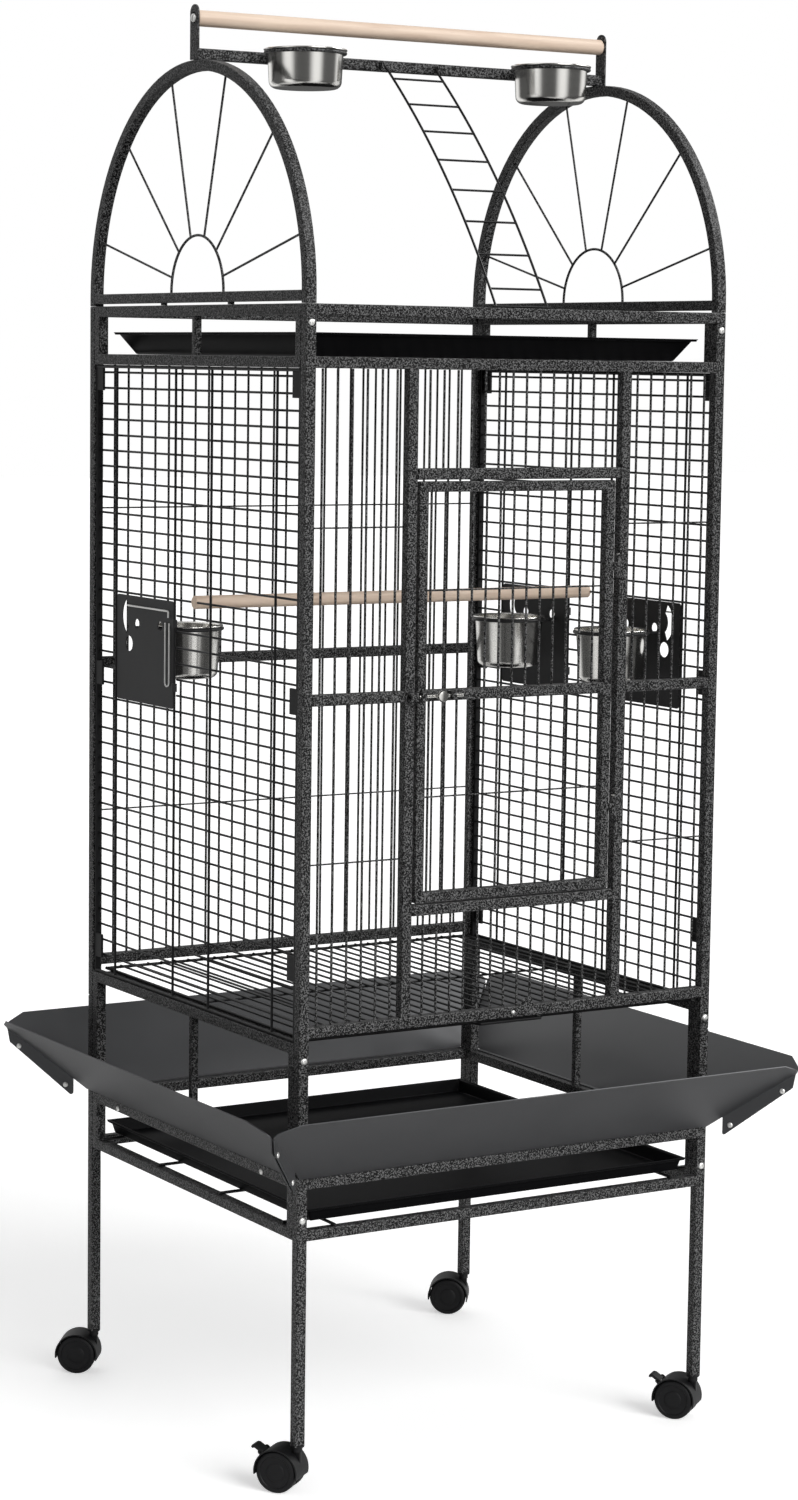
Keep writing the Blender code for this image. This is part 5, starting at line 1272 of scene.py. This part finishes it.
class CAGE_OT_casters(bpy.types.Operator):
    """Model the hooded twin-wheel casters, two of them with brake levers."""

    bl_idname = "cage.casters"
    bl_label = "Casters"

    def execute(self, context):
        for name, x_side, y_side in CORNERS:
            leg = (x_side * POST_X, y_side * POST_Y, 0)
            wheel = (leg[0] - CASTER_TRAIL, leg[1], WHEEL_RADIUS)
            stem = Matrix.Translation(leg)
            self.turn = stem @ Matrix.Rotation(math.radians(CASTER_TURNS[y_side]), 4, "Z") @ stem.inverted()
            self.housing(name, leg, wheel, y_side < 0)
            self.wheels(name, wheel)
            if y_side < 0:
                self.lever(name, wheel)
        return {"FINISHED"}

    def turned(self, shapes):
        """Join shapes and turn them about the stem to where the caster stands."""
        shape = join(shapes)
        shape.data.transform(self.turn)
        return shape

    def housing(self, name, leg, wheel, braked):
        """Hood, web, collar and stem."""
        x, y, _ = leg
        place = plane_at(wheel, ALONG_X, UPWARD)
        inner = WHEEL_RADIUS + 0.001
        hood = arc((0.0, 0.0), inner + 0.0018, -14, 190, 44) + arc((0.0, 0.0), inner, 190, -14, 44)
        web = arc((0.0, 0.0), inner + 0.001, 20, 150, 20) + arc((0.0, 0.0), 0.006, 190, 330, 10)
        neck = tube((x - 0.005, x + 0.005), (y - 0.0034, y + 0.0034), (0.034, 0.049))
        collar = [(0.0, 0.0485), (0.0060, 0.0485), (0.0060, 0.0530), (0.0054, 0.0537), (0.0, 0.0537)]
        shapes = [rounded(join([neck]), 0.0012, 3), plate(hood, 0.0374, place, 0.0008),
                  plate(web, 0.0068, place, 0.0005), spun(collar, leg, UPWARD, 28)]
        if braked:
            pivot = self.pivot(wheel)
            inward = (Vector(wheel) - pivot) * 0.12
            loop = arc((0.0, 0.0), 0.0032, 48, 228, 12)
            loop += [(across + inward.x, up + inward.z) for across, up in (loop[-1], loop[0])]
            for end in (-1, 1):
                ear = plane_at((pivot.x, wheel[1] + end * 0.0095, pivot.z), ALONG_X, UPWARD)
                shapes.append(plate(loop, 0.002, ear, 0.0003))
        done(self.turned(shapes), name + "_caster_hood", name + "_caster", "moulded_plastic",
             [name + "_caster_body"])
        stem = straight(x, y, (0.0495, LEG_FOOT + 0.020), 0.0078, 24)
        done(rounded(join([stem]), 0.0004, 1), name + "_caster_stem", name + "_caster", "zinc")

    def wheels(self, name, wheel):
        """Both wheels with their dished faces, and the axle."""
        x, y, rim = wheel
        profile = [(0.0, 0.0042), (rim - 0.0030, 0.0042), (rim - 0.0008, 0.0050), (rim, 0.0072),
                   (rim, 0.0150), (rim - 0.0008, 0.0170), (rim - 0.0030, 0.0182), (rim - 0.0055, 0.0182),
                   (rim - 0.0062, 0.0172), (0.0110, 0.0166), (0.0100, 0.0176), (0.0050, 0.0181),
                   (0.0, 0.0182)]
        shapes = [spun(profile, wheel, (0, side, 0), 48) for side in (-1, 1)]
        shapes.append(straight(x, (y - 0.006, y + 0.006), rim, 0.006, 24))
        done(self.turned(shapes), name + "_twin_wheels", name + "_wheels", "wheel_tread",
             [name + "_caster_wheels"])

    def pivot(self, wheel):
        """Where a brake lever turns."""
        x, y, z = wheel
        turn = math.radians(BRAKE_PIVOT_TURN)
        return Vector((x + BRAKE_REACH * math.cos(turn), y, z + BRAKE_REACH * math.sin(turn)))

    def lever(self, name, wheel):
        """The hooked foot lever on its pin."""
        pivot = self.pivot(wheel)
        turn = math.radians(BRAKE_LEVER_TURN)
        outline = [(-0.0019, -0.0019), (0.0095, -0.0019), (0.0122, -0.0006), (0.0132, 0.0010),
                   (0.0130, 0.0040), (0.0102, 0.0040), (0.0096, 0.0026), (0.0084, 0.0019), (-0.0019, 0.0019)]
        place = plane_at(pivot, (math.cos(turn), 0, math.sin(turn)), (-math.sin(turn), 0, math.cos(turn)))
        pin = straight(pivot.x, (wheel[1] - 0.0105, wheel[1] + 0.0105), pivot.z, 0.003, 16)
        shapes = [plate(outline, 0.0160, place, 0.0005), pin]
        done(self.turned(shapes), name + "_brake_tab", name + "_brake", "moulded_plastic",
             [name + "_brake_lever"])


class CAGE_OT_screws(bpy.types.Operator):
    """Model the zinc screws of the posts, legs and skirt corners."""

    bl_idname = "cage.screws"
    bl_label = "Screws"

    def execute(self, context):
        shapes = []
        for _, x_side, y_side in CORNERS:
            for height in POST_SCREW_HEIGHTS:
                place = (x_side * POST_X, y_side * HALF_Y, height)
                shapes.append(self.screw(place, (0, y_side, 0), POST_SCREW))
            rail_screw = (x_side * HALF_X, y_side * SKIRT_SCREW_Y, SKIRT_RAIL + 0.0045)
            shapes.append(self.screw(rail_screw, (x_side, 0, 0), SKIRT_SCREW))
            for out, drop in SKIRT_SCREWS:
                level = SKIRT_FOOT + SKIRT_SLOPE * out - drop
                middle = Vector((x_side * (HALF_X + out), y_side * (HALF_Y + out), level))
                for sign in (-1, 1):
                    axis = Vector((x_side * sign, -y_side * sign, 0)).normalized()
                    shapes.append(self.screw(middle + axis * 0.0016, axis, SKIRT_SCREW))
        done(join(shapes), "frame_screws", "cage", "zinc")
        return {"FINISHED"}

    def screw(self, place, axis, radius):
        """A domed screw head with a cross recess."""
        place = Vector(place)
        axis = Vector(axis)
        side = axis.orthogonal().normalized()
        half = radius * 0.45
        profile = [(0.0, -0.0006), (radius, -0.0006), (radius, 0.0004), (radius * 0.82, 0.0013),
                   (half, 0.0018), (0.0, 0.0019)]
        head = spun(profile, place, axis, 20, side)
        outline = [(-half, -0.0004), (half, -0.0004), (half, 0.0004), (-half, 0.0004)]
        for along in (side, axis.cross(side)):
            flat = plane_at(place + axis * 0.0022, along, axis.cross(along))
            cut(head, [plate(outline, 0.0020, flat, 0)])
        return head


class CAGE_OT_stage(bpy.types.Operator):
    """Set the floor, the lights and the camera."""

    bl_idname = "cage.stage"
    bl_label = "Stage"

    def execute(self, context):
        self.floor()
        self.world()
        self.lamp("key", "SUN", (1.2, -6.0, 4.6), 2.35, 0.9, angle=math.radians(40))
        self.lamp("fill", "SUN", (-4.6, -2.0, 3.6), 0.08, 0.9, angle=math.radians(60))
        self.lamp("rim", "SUN", (1.0, 4.2, 4.6), 0.35, 0.9, angle=math.radians(50))
        card = self.lamp("card", "AREA", (3.6, -0.9, 3.6), 140.0, 0.5, shape="DISK", size=2.4)
        card.visible_diffuse = False
        self.camera()
        context.scene.view_settings.view_transform = "Standard"
        return {"FINISHED"}

    def floor(self):
        """A plain pale floor that shows white where nothing shades it and fades out far away."""
        floor = added(bpy.ops.mesh.primitive_plane_add, size=60.0)
        floor.name = "floor"
        tree, shader = new_material("floor_paper", (0.90, 0.90, 0.90, 1.0), 0.9, specular=0.1)
        seen = add_node(tree, "LightPath").outputs["Is Camera Ray"]
        place = add_node(tree, "TexCoord").outputs["Object"]
        away = add_node(tree, "VectorMath", {0: place}, operation="LENGTH").outputs["Value"]
        near = limited(tree, away, (1.4, 2.4), (1.0, 0.0))
        fill(tree, shader, {"Emission Color": (0.46, 0.46, 0.46, 1.0), "Emission Strength": seen,
                            "Alpha": calculated(tree, "MAXIMUM", near, seen)})
        floor.data.materials.append(bpy.data.materials["floor_paper"])

    def world(self):
        """A soft pale surround, white to the camera, with bright and dark bands in reflections."""
        world = bpy.data.worlds.new("studio")
        bpy.context.scene.world = world
        world.use_nodes = True
        tree = world.node_tree
        rays = add_node(tree, "LightPath").outputs
        place = add_node(tree, "TexCoord").outputs["Generated"]
        parts = add_node(tree, "SeparateXYZ", {0: place}).outputs
        turn = calculated(tree, "ARCTAN2", parts["Y"], parts["X"])
        wave = calculated(tree, "SINE", calculated(tree, "MULTIPLY_ADD", turn, 4.0, 1.2))
        bands = limited(tree, wave, (-0.1, 0.9), (0.10, 1.0))
        bright = calculated(tree, "MAXIMUM", bands, rays["Is Camera Ray"])
        seen = calculated(tree, "MAXIMUM", rays["Is Camera Ray"], rays["Is Glossy Ray"])
        seen = calculated(tree, "MAXIMUM", seen, rays["Is Transmission Ray"])
        fill(tree, tree.nodes["Background"], {"Color": (1.0, 1.0, 1.0, 1.0),
                                              "Strength": limited(tree, seen, target=(0.34, bright))})

    def lamp(self, name, kind, place, power, aim, **settings):
        """A soft lamp aimed at a height on the cage's middle line."""
        bpy.ops.object.light_add(type=kind, location=place)
        lamp = bpy.context.object
        lamp.name = name
        lamp.data.energy = power
        for setting, value in settings.items():
            setattr(lamp.data, setting, value)
        lamp.rotation_euler = (Vector((0, 0, aim)) - Vector(place)).to_track_quat("-Z", "Y").to_euler()
        return lamp

    def camera(self):
        """The camera at the photograph's viewpoint."""
        yaw, pitch, roll = (math.radians(turn) for turn in (CAMERA_YAW, CAMERA_PITCH, CAMERA_ROLL))
        ahead = Vector((math.cos(yaw) * math.cos(pitch), math.sin(yaw) * math.cos(pitch), -math.sin(pitch)))
        right = Vector((math.sin(yaw), -math.cos(yaw), 0.0))
        up = right.cross(ahead)
        turned_right = right * math.cos(roll) + up * math.sin(roll)
        turned_up = up * math.cos(roll) - right * math.sin(roll)
        turn = Matrix((turned_right, turned_up, -ahead)).transposed().to_4x4()
        bpy.ops.object.camera_add()
        camera = bpy.context.object
        camera.matrix_world = Matrix.Translation(CAMERA_PLACE) @ turn
        camera.data.sensor_fit = "VERTICAL"
        camera.data.sensor_height = SENSOR
        camera.data.lens = FOCAL_PIXELS / PHOTO_HEIGHT * SENSOR
        bpy.context.scene.camera = camera


STEPS = (CAGE_OT_finishes, CAGE_OT_front_frame, CAGE_OT_front_grilles, CAGE_OT_main_door, CAGE_OT_rear_panel,
         CAGE_OT_side_panels, CAGE_OT_feeder_doors, CAGE_OT_bowls, CAGE_OT_upper_frames, CAGE_OT_arches,
         CAGE_OT_perch_stand, CAGE_OT_perches, CAGE_OT_ladder, CAGE_OT_trays, CAGE_OT_floor_wires,
         CAGE_OT_grate_lock, CAGE_OT_base_frames, CAGE_OT_skirts, CAGE_OT_casters, CAGE_OT_screws,
         CAGE_OT_stage)


class CAGE_PT_sidebar(bpy.types.Panel):
    """List the steps and the values of the cage."""

    bl_idname = "CAGE_PT_sidebar"
    bl_label = "Bird Cage"
    bl_space_type = "VIEW_3D"
    bl_region_type = "UI"
    bl_category = "Bird Cage"

    def draw(self, context):
        for step in STEPS:
            self.layout.operator(step.bl_idname)
        for group in (context.scene.cage_sizes, context.scene.cage_colours):
            for name in group.__annotations__:
                self.layout.prop(group, name)


CLASSES = (CageSizes, CageColours, *STEPS, CAGE_PT_sidebar)


def register():
    """Register the classes and the values."""
    for kind in CLASSES:
        bpy.utils.register_class(kind)
    bpy.types.Scene.cage_sizes = PointerProperty(type=CageSizes)
    bpy.types.Scene.cage_colours = PointerProperty(type=CageColours)


def unregister():
    """Take the classes and the values away."""
    del bpy.types.Scene.cage_colours
    del bpy.types.Scene.cage_sizes
    for kind in reversed(CLASSES):
        bpy.utils.unregister_class(kind)


def main():
    """Model and finish the whole cage."""
    register()
    bpy.ops.cage.finishes()
    bpy.ops.cage.front_frame()
    bpy.ops.cage.front_grilles()
    bpy.ops.cage.main_door()
    bpy.ops.cage.rear_panel()
    bpy.ops.cage.side_panels()
    bpy.ops.cage.feeder_doors()
    bpy.ops.cage.bowls()
    bpy.ops.cage.upper_frames()
    bpy.ops.cage.arches()
    bpy.ops.cage.perch_stand()
    bpy.ops.cage.perches()
    bpy.ops.cage.ladder()
    bpy.ops.cage.trays()
    bpy.ops.cage.floor_wires()
    bpy.ops.cage.grate_lock()
    bpy.ops.cage.base_frames()
    bpy.ops.cage.skirts()
    bpy.ops.cage.casters()
    bpy.ops.cage.screws()
    bpy.ops.cage.stage()


if __name__ == "__main__":
    main()
